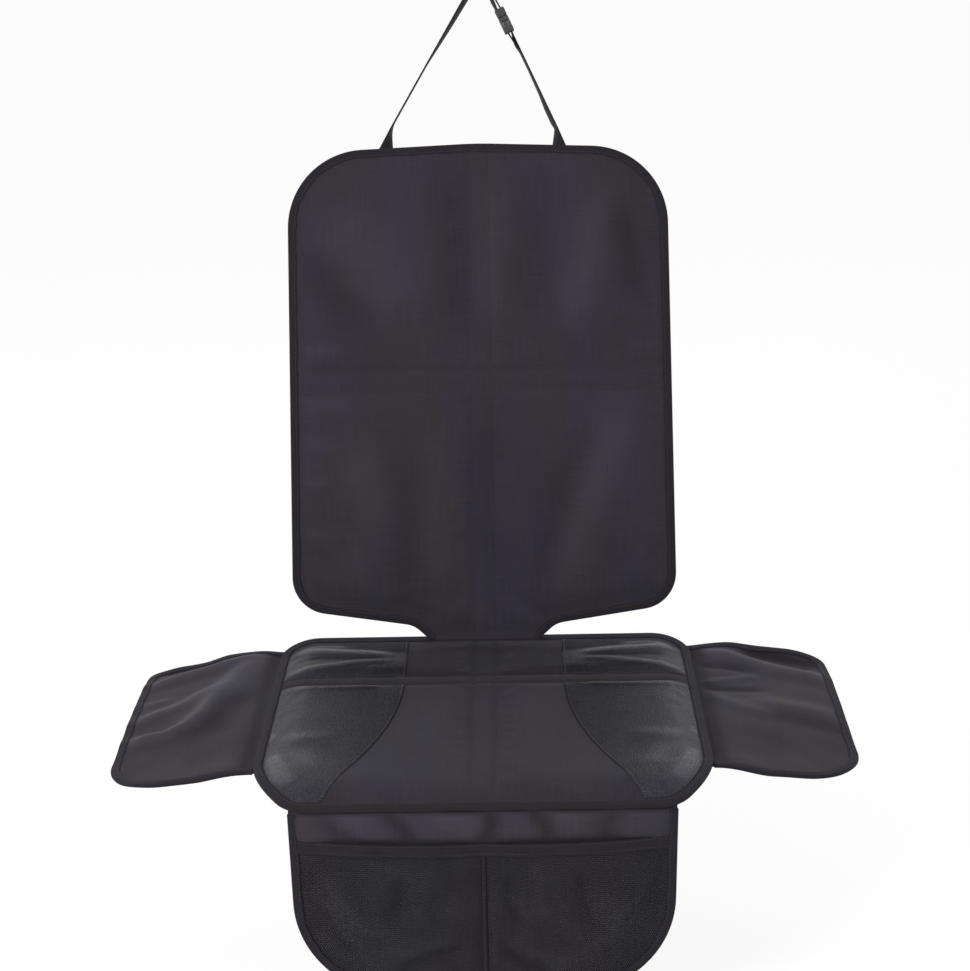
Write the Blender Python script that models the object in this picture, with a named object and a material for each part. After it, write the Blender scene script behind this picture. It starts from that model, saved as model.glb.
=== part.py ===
"""A car seat protector mat, as it lies on a seat: an upright back panel, a padded seat panel with
leather-look patches, two side wings, a front flap with net pockets, and a headrest strap with a buckle.

Metres, +Z up. The origin is the middle of the seat panel's flat underside, and -Y is the front.
"""

import math

import bmesh
import bpy
from mathutils import Vector
from mathutils.geometry import delaunay_2d_cdt

# The seat panel
SEAT_DEPTH = 0.450
SEAT_REAR_WIDTH = 0.476
SEAT_FRONT_WIDTH = 0.488
SEAT_REAR_CORNER = 0.045
FRONT_EDGE_WIDTH = 0.406
FRONT_TAPER = 0.060
SEAT_FRONT_CORNER = 0.140
FRONT_EDGE_CORNER = 0.018
SEAT_PAD = 0.010
FRONT_ROLL = 0.011
FRONT_ROLL_LENGTH = 0.075
REAR_RISE = 0.008
REAR_RISE_LENGTH = 0.060
SEAT_FOLD_FROM_REAR = 0.130

# The back panel
BACK_HEIGHT = 0.578
BACK_BOTTOM_WIDTH = 0.451
BACK_TOP_WIDTH = 0.439
BACK_SHOULDER = 0.006
BACK_TOP_CORNER = 0.090
BACK_BOTTOM_CORNER = 0.042
BACK_PAD = 0.007
BACK_LEAN = math.radians(12.0)
BACK_FOLD_HEIGHT = 0.306
NECK_WIDTH = 0.133
NECK_HEIGHT = 0.003
NECK_FILLET = 0.0025
NECK_FLARE = 0.017
NECK_FLARE_RISE = 0.0115
NECK_FLARE_BEND = 0.030
HIP_RISE = 0.021

# Fold channels: two seams with a thinner strip between them
FOLD_WIDTH = 0.025
FOLD_STRIP_DEPTH = 0.0022
FOLD_SEAM_DEPTH = 0.0036
FOLD_SHOULDER = 0.009
FOLD_LEDGE = 0.004

# Edges, binding tape and the clearance between sewn pieces
EDGE = 0.0024
TAPE = 0.0009
TAPE_SHOW = 0.012
CLEAR = 0.0003
SLACK = 0.0001
PAD_SLOPE = 0.026
TAPE_END = TAPE_SHOW + CLEAR
BAND = TAPE_SHOW + 0.0015

# Leather-look patches
LEATHER = 0.0010
LEATHER_INNER = 0.090
LEATHER_FLARE_FROM = 0.075
LEATHER_FLARE_RADIUS = 0.740

# Side wings
CLOTH = 0.0020
WING_REACH = 0.160
WING_FRONT_INSET = 0.084
WING_REAR_INSET = 0.022
WING_FRONT_TAPER = 0.014
WING_REAR_TAPER = 0.005
WING_FRONT_CORNER = 0.050
WING_REAR_CORNER = 0.036
WING_TUCK = 0.008
WING_LEFT_DROOP = 0.021
WING_RIGHT_DROOP = 0.016
WING_LEFT_TILT = 0.004
WING_RIGHT_TILT = 0.008
WING_FOLD = 0.004

# Front flap and its net pockets
FLAP_WIDTH = 0.402
FLAP_HEIGHT = 0.212
FLAP_TAPER = 0.005
FLAP_CORNER = 0.110
FLAP_SET_BACK = 0.005
NET = 0.0008
POCKET_MOUTH = 0.034
POCKET_MOUTH_SAG = 0.006
POCKET_DEPTH = 0.014
POCKET_SWELL = 0.045
POCKET_SEAM = 0.010
HEM_HEIGHT = 0.013

# Headrest strap and buckle
STRAP_WIDTH = 0.016
WEBBING = 0.0014
STRAP_SPREAD = 0.217
STRAP_ASIDE = -0.0044
STRAP_SEWN = 0.008
STRAP_TURN = 0.036
STRAP_FOLDED = 0.023
STRAP_TAIL = 0.040
LOOP_HEIGHT = 0.206
LOOP_ASIDE = 0.009
LOOP_RADIUS = 0.010
BUCKLE_TO_LOOP = 0.053
BUCKLE_WIDTH = 0.024
BUCKLE_THICKNESS = 0.0115
SOCKET_LENGTH = 0.0195
PLUG_LENGTH = 0.0100
PRONG = 0.0032
PRONG_REACH = 0.0115
BUCKLE_WALL = 0.0016
BUCKLE_BAR = 0.0024
BUCKLE_SLOT = 0.0026
BUCKLE_EDGE = 0.0012

# Mesh fineness
GRID = 0.055
STEP_ANGLE = math.radians(13.0)

COLOURS = {
    "oxford": ((0.045, 0.042, 0.052), 0.85),
    "tape": ((0.030, 0.029, 0.034), 0.80),
    "leather": ((0.040, 0.041, 0.045), 0.42),
    "net": ((0.022, 0.022, 0.026), 0.75),
    "webbing": ((0.026, 0.026, 0.028), 0.75),
    "buckle": ((0.055, 0.055, 0.058), 0.45),
}


def clear_scene():
    for item in list(bpy.data.objects):
        bpy.data.objects.remove(item)


def material(name):
    found = bpy.data.materials.get(name)
    if found:
        return found
    colour, roughness = COLOURS[name]
    made = bpy.data.materials.new(name)
    made.use_nodes = True
    shader = made.node_tree.nodes["Principled BSDF"]
    shader.inputs["Base Color"].default_value = (*colour, 1.0)
    shader.inputs["Roughness"].default_value = roughness
    shader.inputs["Metallic"].default_value = 0.0
    return made


def add_object(name, mesh, material_name):
    made = bpy.data.objects.new(name, mesh)
    bpy.context.scene.collection.objects.link(made)
    mesh.materials.append(material(material_name))
    mesh.shade_smooth()
    mesh.set_sharp_from_angle(angle=math.radians(35))
    return made


def ease(t):
    """0 before 0, 1 after 1 and smooth between."""
    t = min(1.0, max(0.0, t))
    return t * t * (3 - 2 * t)


# Outlines: points in a panel's own flat plane, anticlockwise


def rounded(corners):
    """A path through (x, y, radius) corners, each with a radius turned into an arc."""
    points = [Vector(corners[0][:2])]
    for before, here, after in zip(corners, corners[1:], corners[2:]):
        corner = Vector(here[:2])
        if not here[2]:
            points.append(corner)
            continue
        back = (Vector(before[:2]) - corner).normalized()
        ahead = (Vector(after[:2]) - corner).normalized()
        half = back.angle(ahead) / 2
        bisector = (back + ahead).normalized()
        centre = corner + bisector * here[2] / math.sin(half)
        start = corner + back * here[2] / math.tan(half) - centre
        sweep = start.angle_signed(corner + ahead * here[2] / math.tan(half) - centre)
        steps = max(2, math.ceil(abs(sweep) / STEP_ANGLE))
        for k in range(steps + 1):
            turn = -sweep * k / steps
            c, s = math.cos(turn), math.sin(turn)
            points.append(centre + Vector((c * start.x - s * start.y, s * start.x + c * start.y)))
    points.append(Vector(corners[-1][:2]))
    return points


def with_steps(path, longest):
    """The path with its long runs divided."""
    points = [path[0]]
    for a, b in zip(path, path[1:]):
        count = max(1, math.ceil((b - a).length / longest))
        points += [a.lerp(b, k / count) for k in range(1, count + 1)]
    return points


def ring_of(path, longest):
    """An open path made a closed outline, its last run divided too."""
    return path + with_steps([path[-1], path[0]], longest)[1:-1]


def inward(path, closed):
    """At each point, the vector that moves it one unit inside the path."""
    count = len(path)
    found = []
    for i, here in enumerate(path):
        normals = []
        for a, b in ((i - 1, i), (i, i + 1)):
            if closed or 0 <= a and b < count:
                run = path[b % count] - path[a % count]
                normals.append(Vector((-run.y, run.x)).normalized())
        total = sum(normals, Vector((0.0, 0.0)))
        found.append(total / (1 + normals[0].dot(normals[-1])) if len(normals) == 2 else total)
    return found


def inset(outline, distance):
    return [p + n * distance for p, n in zip(outline, inward(outline, closed=True))]


def edge_distance(outline, point):
    """How far a point lies from the nearest edge of an outline."""
    nearest = math.inf
    for i, a in enumerate(outline):
        run = outline[(i + 1) % len(outline)] - a
        share = min(1.0, max(0.0, (point - a).dot(run) / run.length_squared))
        nearest = min(nearest, (point - a - run * share).length)
    return nearest


def is_inside(outline, point):
    hit = False
    for i, a in enumerate(outline):
        b = outline[(i + 1) % len(outline)]
        if (a.y > point.y) != (b.y > point.y):
            hit ^= point.x < a.x + (b.x - a.x) * (point.y - a.y) / (b.y - a.y)
    return hit


def mirrored(points):
    """The right half of a path from bottom to top, then the same on the left from top to bottom."""
    return points + [(-x, y, r) for x, y, r in reversed(points) if x > 0]


# Solids from flat outlines


def triangles(outline, lines, spacing, margin):
    """Fills an outline with triangles whose edges keep to the given lines."""
    points = list(outline)
    edges = [(i, (i + 1) % len(outline)) for i in range(len(outline))]
    for line, closed in lines:
        first = len(points)
        points += line
        edges += [(first + i, first + i + 1) for i in range(len(line) - 1)]
        if closed:
            edges.append((first + len(line) - 1, first))
    low = Vector((min(p.x for p in outline), min(p.y for p in outline)))
    high = Vector((max(p.x for p in outline), max(p.y for p in outline)))
    across = max(1, round((high.x - low.x) / spacing))
    along = max(1, round((high.y - low.y) / spacing))
    fixed = list(points)
    for i in range(1, across):
        for j in range(1, along):
            p = Vector((low.x + (high.x - low.x) * i / across, low.y + (high.y - low.y) * j / along))
            near = min((p - q).length for q in fixed)
            if is_inside(outline, p) and edge_distance(outline, p) > margin and near > spacing * 0.45:
                points.append(p)
    face = list(range(len(outline)))
    found = delaunay_2d_cdt(points, edges, [face], 1, 1e-7)
    return found[0], found[2]


def closed_sheet(name, top, bottom, material_name):
    """One solid between two skins, each (points, triangles) over the same boundary."""
    work = bmesh.new()
    rims = []
    for (points, faces), flip in ((top, False), (bottom, True)):
        verts = [work.verts.new(p) for p in points]
        made = [work.faces.new([verts[i] for i in (reversed(f) if flip else f)]) for f in faces]
        edges = {e for f in made for e in f.edges if e.is_boundary}
        rims += list(edges)
    bmesh.ops.bridge_loops(work, edges=rims)
    bmesh.ops.triangulate(work, faces=[f for f in work.faces if len(f.verts) > 3])
    bmesh.ops.recalc_face_normals(work, faces=work.faces)
    loose = [v for v in work.verts if not v.link_faces]
    bmesh.ops.delete(work, geom=loose, context="VERTS")
    mesh = bpy.data.meshes.new(name)
    work.to_mesh(mesh)
    work.free()
    return add_object(name, mesh, material_name)


def skin(flat, place, height):
    points, faces = flat
    return [place(p.x, p.y, height(p.x, p.y)) for p in points], faces


def swept(name, stations, material_name, caps=None):
    """A solid through rings of points, with a cap of one or more faces at each end."""
    work = bmesh.new()
    rings = [[work.verts.new(p) for p in ring] for ring in stations]
    for near, far in zip(rings, rings[1:]):
        for i in range(len(near)):
            j = (i + 1) % len(near)
            work.faces.new((near[i], near[j], far[j], far[i]))
    for cap in caps or [range(len(rings[0]))]:
        work.faces.new([rings[0][i] for i in reversed(cap)])
        work.faces.new([rings[-1][i] for i in cap])
    bmesh.ops.triangulate(work, faces=list(work.faces))
    bmesh.ops.recalc_face_normals(work, faces=work.faces)
    mesh = bpy.data.meshes.new(name)
    work.to_mesh(mesh)
    work.free()
    return add_object(name, mesh, material_name)


def binding(name, path, place, middle, low, high, slack=0.0):
    """Tape folded over an edge: a C section whose slot clears the cloth from low to high about middle."""
    slot_low, slot_high = low - CLEAR - slack, high + CLEAR + slack
    outer = -CLEAR - TAPE
    section = (
        (TAPE_SHOW, slot_high + TAPE),
        (outer * 0.5, slot_high + TAPE),
        (outer, slot_high - TAPE * 0.3),
        (outer, slot_low + TAPE * 0.3),
        (outer * 0.5, slot_low - TAPE),
        (TAPE_SHOW, slot_low - TAPE),
        (TAPE_SHOW, slot_low),
        (-CLEAR, slot_low),
        (-CLEAR, slot_high),
        (TAPE_SHOW, slot_high),
    )
    stations = []
    for point, into in zip(path, inward(path, closed=False)):
        ring = []
        for reach, height in section:
            at = point + into * reach
            ring.append(place(at.x, at.y, middle(at.x, at.y) + height))
        stations.append(ring)
    return swept(name, stations, "tape", ((0, 1, 8, 9), (1, 2, 8), (2, 3, 7, 8), (3, 4, 7), (4, 5, 6, 7)))


# The seat panel

SEAT_FRONT = -SEAT_DEPTH / 2
SEAT_REAR = SEAT_DEPTH / 2
SEAT_FOLD = SEAT_REAR - SEAT_FOLD_FROM_REAR
EDGE_MIDDLE = EDGE / 2 + CLEAR + TAPE
JOIN_HALF = NECK_WIDTH / 2 + TAPE + 3 * CLEAR

seat_path = with_steps(
    rounded([
        (-JOIN_HALF, SEAT_REAR, 0),
        (-SEAT_REAR_WIDTH / 2, SEAT_REAR, SEAT_REAR_CORNER),
        (-SEAT_FRONT_WIDTH / 2, SEAT_FRONT + FRONT_TAPER, SEAT_FRONT_CORNER),
        (-FRONT_EDGE_WIDTH / 2, SEAT_FRONT, FRONT_EDGE_CORNER),
        (FRONT_EDGE_WIDTH / 2, SEAT_FRONT, FRONT_EDGE_CORNER),
        (SEAT_FRONT_WIDTH / 2, SEAT_FRONT + FRONT_TAPER, SEAT_FRONT_CORNER),
        (SEAT_REAR_WIDTH / 2, SEAT_REAR, SEAT_REAR_CORNER),
        (JOIN_HALF, SEAT_REAR, 0),
    ]),
    GRID * 0.75,
)


def seat_level(y):
    """Height of the seat's underside: flat in the middle, rolled down in front, raised at the rear."""
    roll = max(0.0, 1 - (y - SEAT_FRONT) / FRONT_ROLL_LENGTH)
    rise = max(0.0, 1 - (SEAT_REAR - y) / REAR_RISE_LENGTH)
    return REAR_RISE * rise * rise - FRONT_ROLL * roll * roll


def seat_place(x, y, height):
    return Vector((x, y, seat_level(y) + height))


def fold_drop(distance):
    """How far a fold channel sinks below the pad, by the distance from its middle."""
    half = FOLD_WIDTH / 2
    if distance < half:
        share = ease((distance - half + FOLD_LEDGE) / FOLD_LEDGE)
        return FOLD_STRIP_DEPTH + (FOLD_SEAM_DEPTH - FOLD_STRIP_DEPTH) * share
    return FOLD_SEAM_DEPTH * (1 - ease((distance - half) / FOLD_SHOULDER))


def fold_lines(low, high, across, upright):
    """The lines that carry a channel's section, from low to high along it."""
    half = FOLD_WIDTH / 2
    lines = []
    for side in (-1, 1):
        for offset in (half - FOLD_LEDGE, half, half + FOLD_SHOULDER):
            at = across + side * offset
            ends = (Vector((at, low)), Vector((at, high))) if upright else (Vector((low, at)), Vector((high, at)))
            lines.append((with_steps(list(ends), GRID), False))
    return lines


def seat_top(x, y):
    """Height of the pad's upper face above the underside's level."""
    away = edge_distance(seat_path, Vector((x, y))) - BAND
    thin = EDGE_MIDDLE + EDGE / 2
    crown = math.sin(math.pi / 2 * min(1.0, max(0.0, away / PAD_SLOPE)))
    drop = max(fold_drop(abs(y - SEAT_FOLD)), fold_drop(abs(x)))
    return thin + crown * max(0.0, SEAT_PAD - thin - drop)


def seat_bottom(x, y):
    """The underside is flat, level with the tape, and steps up to the thin edge inside the tape."""
    away = edge_distance(seat_path, Vector((x, y)))
    return (EDGE_MIDDLE - EDGE / 2) * (1 if away < (TAPE_END + BAND) / 2 else 0)


def leather_inner(y):
    """Half the width of the cloth strip between the leather patches."""
    ahead = max(0.0, LEATHER_FLARE_FROM - y)
    radius = max(LEATHER_FLARE_RADIUS, ahead * 1.5)
    return LEATHER_INNER + radius - math.sqrt(radius * radius - ahead * ahead)


def patch_outline(side, low, high):
    """A leather patch between two heights along the seat, inside the binding."""
    ring = inset(seat_path, BAND)
    outer = [p for p in ring if p.x * side > 0 and low < p.y < high and p.x * side > leather_inner(p.y)]
    outer.sort(key=lambda p: (p.y, -p.x * side))

    def rim(y):
        crossings = []
        for a, b in zip(ring, ring[1:]):
            if (a.y - y) * (b.y - y) < 0:
                crossings.append(a.x + (b.x - a.x) * (y - a.y) / (b.y - a.y))
        return max(crossings, key=lambda x: x * side, default=None)

    ends = [Vector((rim(y), y)) if rim(y) is not None else None for y in (low, high)]
    count = max(2, round((high - low) / (GRID * 0.6)))
    ys = [high + (low - high) * k / count for k in range(count + 1)]
    inner = [Vector((side * leather_inner(y), y)) for y in ys]
    outer = [p for p in (ends[0], *outer, ends[1]) if p is not None]
    return outer + inner if side > 0 else list(reversed(outer + inner))


def make_seat():
    patches = {}
    for side, word in ((-1, "left"), (1, "right")):
        half = FOLD_WIDTH / 2
        patches[word + "_front_leather"] = patch_outline(side, SEAT_FRONT + BAND + 2 * CLEAR, SEAT_FOLD - half)
        patches[word + "_rear_leather"] = patch_outline(side, SEAT_FOLD + half, SEAT_REAR - BAND - 2 * CLEAR)
    band = inset(seat_path, BAND)
    reach = SEAT_FRONT_WIDTH / 2 - BAND * 1.3
    lines = [(band, True), (inset(seat_path, BAND + PAD_SLOPE * 0.4), True)]
    lines.append((inset(seat_path, BAND + PAD_SLOPE), True))
    lines += fold_lines(-reach * 0.96, reach * 0.96, SEAT_FOLD, upright=False)
    lines += fold_lines(SEAT_FRONT + BAND * 1.3, SEAT_REAR - BAND * 1.3, 0.0, upright=True)
    lines += [(outline, True) for outline in patches.values()]
    top = triangles(seat_path, lines, GRID, BAND * 1.5)
    rows = []
    for share in (0.25, 0.5, 0.75, 1.0):
        rows += [SEAT_FRONT + FRONT_ROLL_LENGTH * share, SEAT_REAR - REAR_RISE_LENGTH * share]
    under = [(inset(seat_path, TAPE_END), True), (band, True)]
    for y in rows:
        inside = [p.x for p in band if abs(p.y - y) < GRID]
        half = min(max(inside, default=reach), reach) * 0.97
        under.append((with_steps([Vector((-half, y)), Vector((half, y))], GRID * 1.2), False))
    bottom = triangles(seat_path, under, GRID * 2, BAND * 2)
    closed_sheet("seat_panel", skin(top, seat_place, seat_top), skin(bottom, seat_place, seat_bottom), "oxford")
    for name, outline in patches.items():
        points, faces = top
        kept = [f for f in faces if is_inside(outline, sum((points[i] for i in f), Vector((0, 0))) / 3)]
        used = sorted({i for f in kept for i in f})
        number = {old: new for new, old in enumerate(used)}
        flat = [points[i] for i in used], [[number[i] for i in f] for f in kept]
        low = skin(flat, seat_place, lambda x, y: seat_top(x, y) + CLEAR)
        high = skin(flat, seat_place, lambda x, y: seat_top(x, y) + CLEAR + LEATHER)
        closed_sheet(name, high, low, "leather")
    binding("seat_binding", seat_path, seat_place, lambda x, y: EDGE_MIDDLE, -EDGE / 2, EDGE / 2)


# The back panel

BACK_FOOT = SEAT_REAR - 2 * EDGE
BACK_BASE = Vector((0, BACK_FOOT, seat_level(BACK_FOOT) + EDGE_MIDDLE + EDGE / 2 + CLEAR))
BACK_UP = Vector((0, math.sin(BACK_LEAN), math.cos(BACK_LEAN)))
BACK_OUT = Vector((0, -math.cos(BACK_LEAN), math.sin(BACK_LEAN)))

back_path = with_steps(
    rounded(mirrored([
        (NECK_WIDTH / 2, 0, 0),
        (NECK_WIDTH / 2, NECK_HEIGHT, NECK_FILLET),
        (NECK_WIDTH / 2 + NECK_FLARE, NECK_HEIGHT + NECK_FLARE_RISE, NECK_FLARE_BEND),
        (BACK_BOTTOM_WIDTH / 2, NECK_HEIGHT + NECK_FLARE_RISE + HIP_RISE, BACK_BOTTOM_CORNER),
        (BACK_TOP_WIDTH / 2, BACK_HEIGHT - BACK_SHOULDER, BACK_TOP_CORNER),
        (0, BACK_HEIGHT + BACK_SHOULDER * 0.4, 0.4),
    ])),
    GRID * 0.75,
)


def back_place(x, up, height):
    """A point of the back panel: x across, up the panel, and height out of its rear face."""
    return BACK_BASE + Vector((x, 0, 0)) + BACK_UP * up + BACK_OUT * height


def back_top(x, up):
    away = edge_distance(back_path, Vector((x, up))) - BAND
    thin = EDGE_MIDDLE + EDGE / 2
    crown = math.sin(math.pi / 2 * min(1.0, max(0.0, away / PAD_SLOPE)))
    drop = max(fold_drop(abs(up - BACK_FOLD_HEIGHT)), fold_drop(abs(x))) * 0.5
    return thin + crown * max(0.0, BACK_PAD - thin - drop)


def back_bottom(x, up):
    """The rear face is flat, level with the tape, and steps in to the thin edge inside the tape."""
    away = edge_distance(back_path, Vector((x, up)))
    return (EDGE_MIDDLE - EDGE / 2) * (1 if away < (TAPE_END + BAND) / 2 else 0)


def make_back():
    band = inset(back_path, BAND)
    reach = min(BACK_TOP_WIDTH, BACK_BOTTOM_WIDTH) / 2 - BAND * 1.3
    lines = [(band, True), (inset(back_path, BAND + PAD_SLOPE), True)]
    lines += fold_lines(-reach, reach, BACK_FOLD_HEIGHT, upright=False)
    lines += fold_lines(BAND * 1.3, BACK_HEIGHT - BAND * 1.3, 0.0, upright=True)
    top = triangles(back_path, lines, GRID * 1.3, BAND * 1.5)
    bottom = triangles(back_path, [(inset(back_path, TAPE_END), True), (band, True)], GRID * 3, BAND * 2)
    closed_sheet("back_panel", skin(top, back_place, back_top), skin(bottom, back_place, back_bottom), "oxford")
    binding("back_binding", back_path, back_place, lambda x, y: EDGE_MIDDLE, -EDGE / 2, EDGE / 2)


# The side wings


def seat_half_at(y):
    """Half the seat's width at a place along it, from its own outline."""
    spans = []
    for a, b in zip(seat_path, seat_path[1:]):
        if (a.y - y) * (b.y - y) <= 0 and a.y != b.y:
            spans.append(abs(a.x + (b.x - a.x) * (y - a.y) / (b.y - a.y)))
    return max(spans, default=SEAT_REAR_WIDTH / 2 - SEAT_REAR_CORNER)


def make_wing(word, side, droop, tilt):
    front, rear = SEAT_FRONT + WING_FRONT_INSET, SEAT_REAR - WING_REAR_INSET
    out = WING_TUCK + WING_REACH
    start = WING_TUCK + 2 * (TAPE + CLEAR)

    def place(s, y, height):
        """s runs outward from the tucked edge. The cloth droops, tilts and keeps slanting folds."""
        share = max(0.0, (s - start) / WING_REACH)
        along = (y - front) / (rear - front)
        wave = WING_FOLD * math.sin((along - share * 0.45) * math.tau * 1.1) + tilt * (2 * along - 1)
        x = side * (seat_half_at(y) - WING_TUCK + s)
        z = seat_level(y) - CLEAR - CLOTH / 2 - droop * share**1.6 + wave * ease(share * 2.5)
        return Vector((x, y, z + height))

    corners = [
        (0, front, 0),
        (start, front, 0),
        (out, front + WING_FRONT_TAPER, WING_FRONT_CORNER),
        (out - WING_REAR_TAPER, rear, WING_REAR_CORNER),
        (start, rear, 0),
        (0, rear, 0),
    ]
    outline = ring_of(with_steps(rounded(corners), GRID * 0.4), GRID * 0.4)
    path = [p for p in outline if p.x >= start - 1e-6]
    ring = [p + n * BAND for p, n in zip(path, inward(path, closed=False))]
    seam = [path[0], *with_steps([ring[0], ring[-1]], GRID * 0.4), path[-1]]
    flat = triangles(outline, [(ring, False), (seam, False)], GRID * 0.62, BAND * 1.3)
    top = skin(flat, place, lambda s, y: CLOTH / 2)
    bottom = skin(flat, place, lambda s, y: -CLOTH / 2)
    closed_sheet(word + "_wing", top, bottom, "oxford")
    binding(word + "_wing_binding", path, place, lambda s, y: 0.0, -CLOTH / 2, CLOTH / 2, SLACK)


# The front flap

FLAP_STACK = CLOTH / 2 + CLEAR + NET

flap_corners = [
    (-FLAP_WIDTH / 2, 0, 0),
    (-FLAP_WIDTH / 2 + FLAP_TAPER, -FLAP_HEIGHT, FLAP_CORNER),
    (FLAP_WIDTH / 2 - FLAP_TAPER, -FLAP_HEIGHT, FLAP_CORNER),
    (FLAP_WIDTH / 2, 0, 0),
]
flap_path = with_steps(rounded(flap_corners), GRID * 0.6)
flap_outline = ring_of(flap_path, GRID * 0.6)


def flap_place(x, down, height):
    """x across, down (negative) along the hanging cloth, and height out of its middle, to the front."""
    held = SEAT_FRONT + FLAP_SET_BACK
    return Vector((x, held - height, seat_level(held - CLOTH / 2) - CLEAR + down))


def flap_half(down):
    """Half the flap's width above its round corners."""
    return FLAP_WIDTH / 2 + FLAP_TAPER * down / FLAP_HEIGHT


def pocket_mouth(x):
    """How far below the flap's top the net begins: it sags towards the middle."""
    return -POCKET_MOUTH - POCKET_MOUTH_SAG * math.cos(math.pi * min(0.5, abs(x) / FLAP_WIDTH))


def net_middle(x, down):
    """How far the net stands out of the flap: a pouch on each side of the seam in the middle."""
    away = edge_distance(flap_closed, Vector((x, down))) - BAND
    share = (abs(x) - POCKET_SEAM / 2) / (FLAP_WIDTH / 2 - BAND - POCKET_SEAM / 2)
    across = math.sin(math.pi * min(1.0, max(0.0, share))) ** 0.7
    return FLAP_STACK - NET / 2 + POCKET_DEPTH * across * ease(away / POCKET_SWELL)


flap_closed = [Vector((-FLAP_WIDTH / 2, FLAP_HEIGHT)), *flap_path, Vector((FLAP_WIDTH / 2, FLAP_HEIGHT))]
net_edge = flap_half(-POCKET_MOUTH)
net_room = net_edge - BAND
net_columns = [POCKET_SEAM / 2 + (net_room - POCKET_SEAM / 2) * k for k in (0, 0.08, 0.2, 0.4, 0.6, 0.8, 0.92, 1)]
mouth_xs = [*reversed(net_columns), *(-x for x in net_columns)]


def make_flap():
    inner = inset(flap_outline, BAND)
    ring = [p for p in inner if p.y < -BAND * 0.5]
    flat = triangles(flap_outline, [(ring, False)], GRID, BAND * 1.5)
    top = skin(flat, flap_place, lambda x, y: CLOTH / 2)
    bottom = skin(flat, flap_place, lambda x, y: -CLOTH / 2)
    closed_sheet("front_flap", top, bottom, "oxford")
    path = [p for p in flap_path if p.y < -TAPE - 4 * CLEAR]
    binding("flap_binding", path, flap_place, lambda x, y: 0.0, -CLOTH / 2, FLAP_STACK)

    mouth = [Vector((x, pocket_mouth(x))) for x in mouth_xs]
    low = [p for p in flap_path if p.y < -POCKET_MOUTH - 0.004]
    outline = [Vector((-net_edge, -POCKET_MOUTH)), *low, Vector((net_edge, -POCKET_MOUTH)), *mouth]
    ring = [p for p in inner if p.y < pocket_mouth(p.x) - 0.004]
    ring = [mouth[-1], *ring, mouth[0]]
    lines = [(ring, False)]
    for point in mouth[1:-1]:
        foot = Vector((point.x, foot_of(ring, point.x) + 0.004))
        lines.append((with_steps([point, foot], GRID * 0.55), False))
    flat = triangles(outline, lines, GRID * 10, BAND)
    top = skin(flat, flap_place, lambda x, y: net_middle(x, y) + NET / 2)
    bottom = skin(flat, flap_place, lambda x, y: net_middle(x, y) - NET / 2)
    closed_sheet("pocket_net", top, bottom, "net")
    make_hem(mouth, ring)


def foot_of(ring, x):
    """The lowest height of a path at one place across."""
    found = []
    for a, b in zip(ring, ring[1:]):
        if (a.x - x) * (b.x - x) <= 0 and a.x != b.x:
            found.append(a.y + (b.y - a.y) * (x - a.x) / (b.x - a.x))
    return min(found)


def make_hem(mouth, ring):
    """The band along the pockets' mouth, and the tape over the seam between them."""
    near, far = NET / 2 + CLEAR, NET / 2 + CLEAR + TAPE

    def band_at(x, high, low, deeper=0.0):
        out = net_middle(x, pocket_mouth(x)) + deeper
        heights = ((high, near), (low, near), (low, far), (high, far))
        return [flap_place(x, down, out + lift) for down, lift in heights]

    hem = []
    for point in mouth:
        x = min(net_room - CLEAR, max(CLEAR - net_room, point.x))
        hem.append(band_at(x, pocket_mouth(x) + 0.001, pocket_mouth(x) - HEM_HEIGHT))
    swept("pocket_hem", hem, "tape")
    half = POCKET_SEAM / 2 - CLEAR
    low = foot_of(ring, 0.0) + CLEAR * 4
    high = pocket_mouth(half) - HEM_HEIGHT - CLEAR
    swept("pocket_seam", [band_at(x, high, low) for x in (-half, half)], "tape")


# The headrest strap, in the back panel's plane: x across, up the panel. Its outer edge runs straight
# from the sewn end to the loop, and its inner edge swings back until the webbing is edge-on.

STRAP_BACK = -CLEAR - WEBBING / 2
loop_apex = Vector((LOOP_ASIDE, BACK_HEIGHT + LOOP_HEIGHT))


def strap_rise(side):
    """The strap's edge line: where it crosses the panel's top, and its direction to the loop."""
    foot = Vector((STRAP_ASIDE + side * STRAP_SPREAD / 2, BACK_HEIGHT))
    return foot, (loop_apex - foot).normalized()


def strap(name, path, side):
    """Webbing whose outer edge keeps to a path: flat where it is sewn, then turned edge-on."""
    stations = []
    run = -STRAP_SEWN
    for i, point in enumerate(path):
        ahead = (path[min(i + 1, len(path) - 1)] - path[max(i - 1, 0)]).normalized()
        inner = Vector((ahead.y, -ahead.x)) * -side
        run += (point - path[i - 1]).length if i else 0.0
        angle = math.pi / 2 * ease(run / STRAP_TURN)
        c, s = math.cos(angle), math.sin(angle)
        ring = []
        for wide, thick in ((0, -1), (1, -1), (1, 1), (0, 1)):
            at = point + inner * (wide * STRAP_WIDTH * c + thick * WEBBING / 2 * s)
            depth = -wide * STRAP_WIDTH * s + thick * WEBBING / 2 * c
            ring.append(back_place(at.x, at.y, STRAP_BACK + depth))
        stations.append(ring)
    return swept(name, stations, "webbing")


def rising(side, goal):
    """The edge line from the sewn end to a goal, with close steps where the webbing turns."""
    foot, way = strap_rise(side)
    count = 8
    points = [foot - way * STRAP_SEWN]
    points += [foot + way * STRAP_TURN * k / count for k in range(count + 1)]
    return points + [goal]


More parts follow.
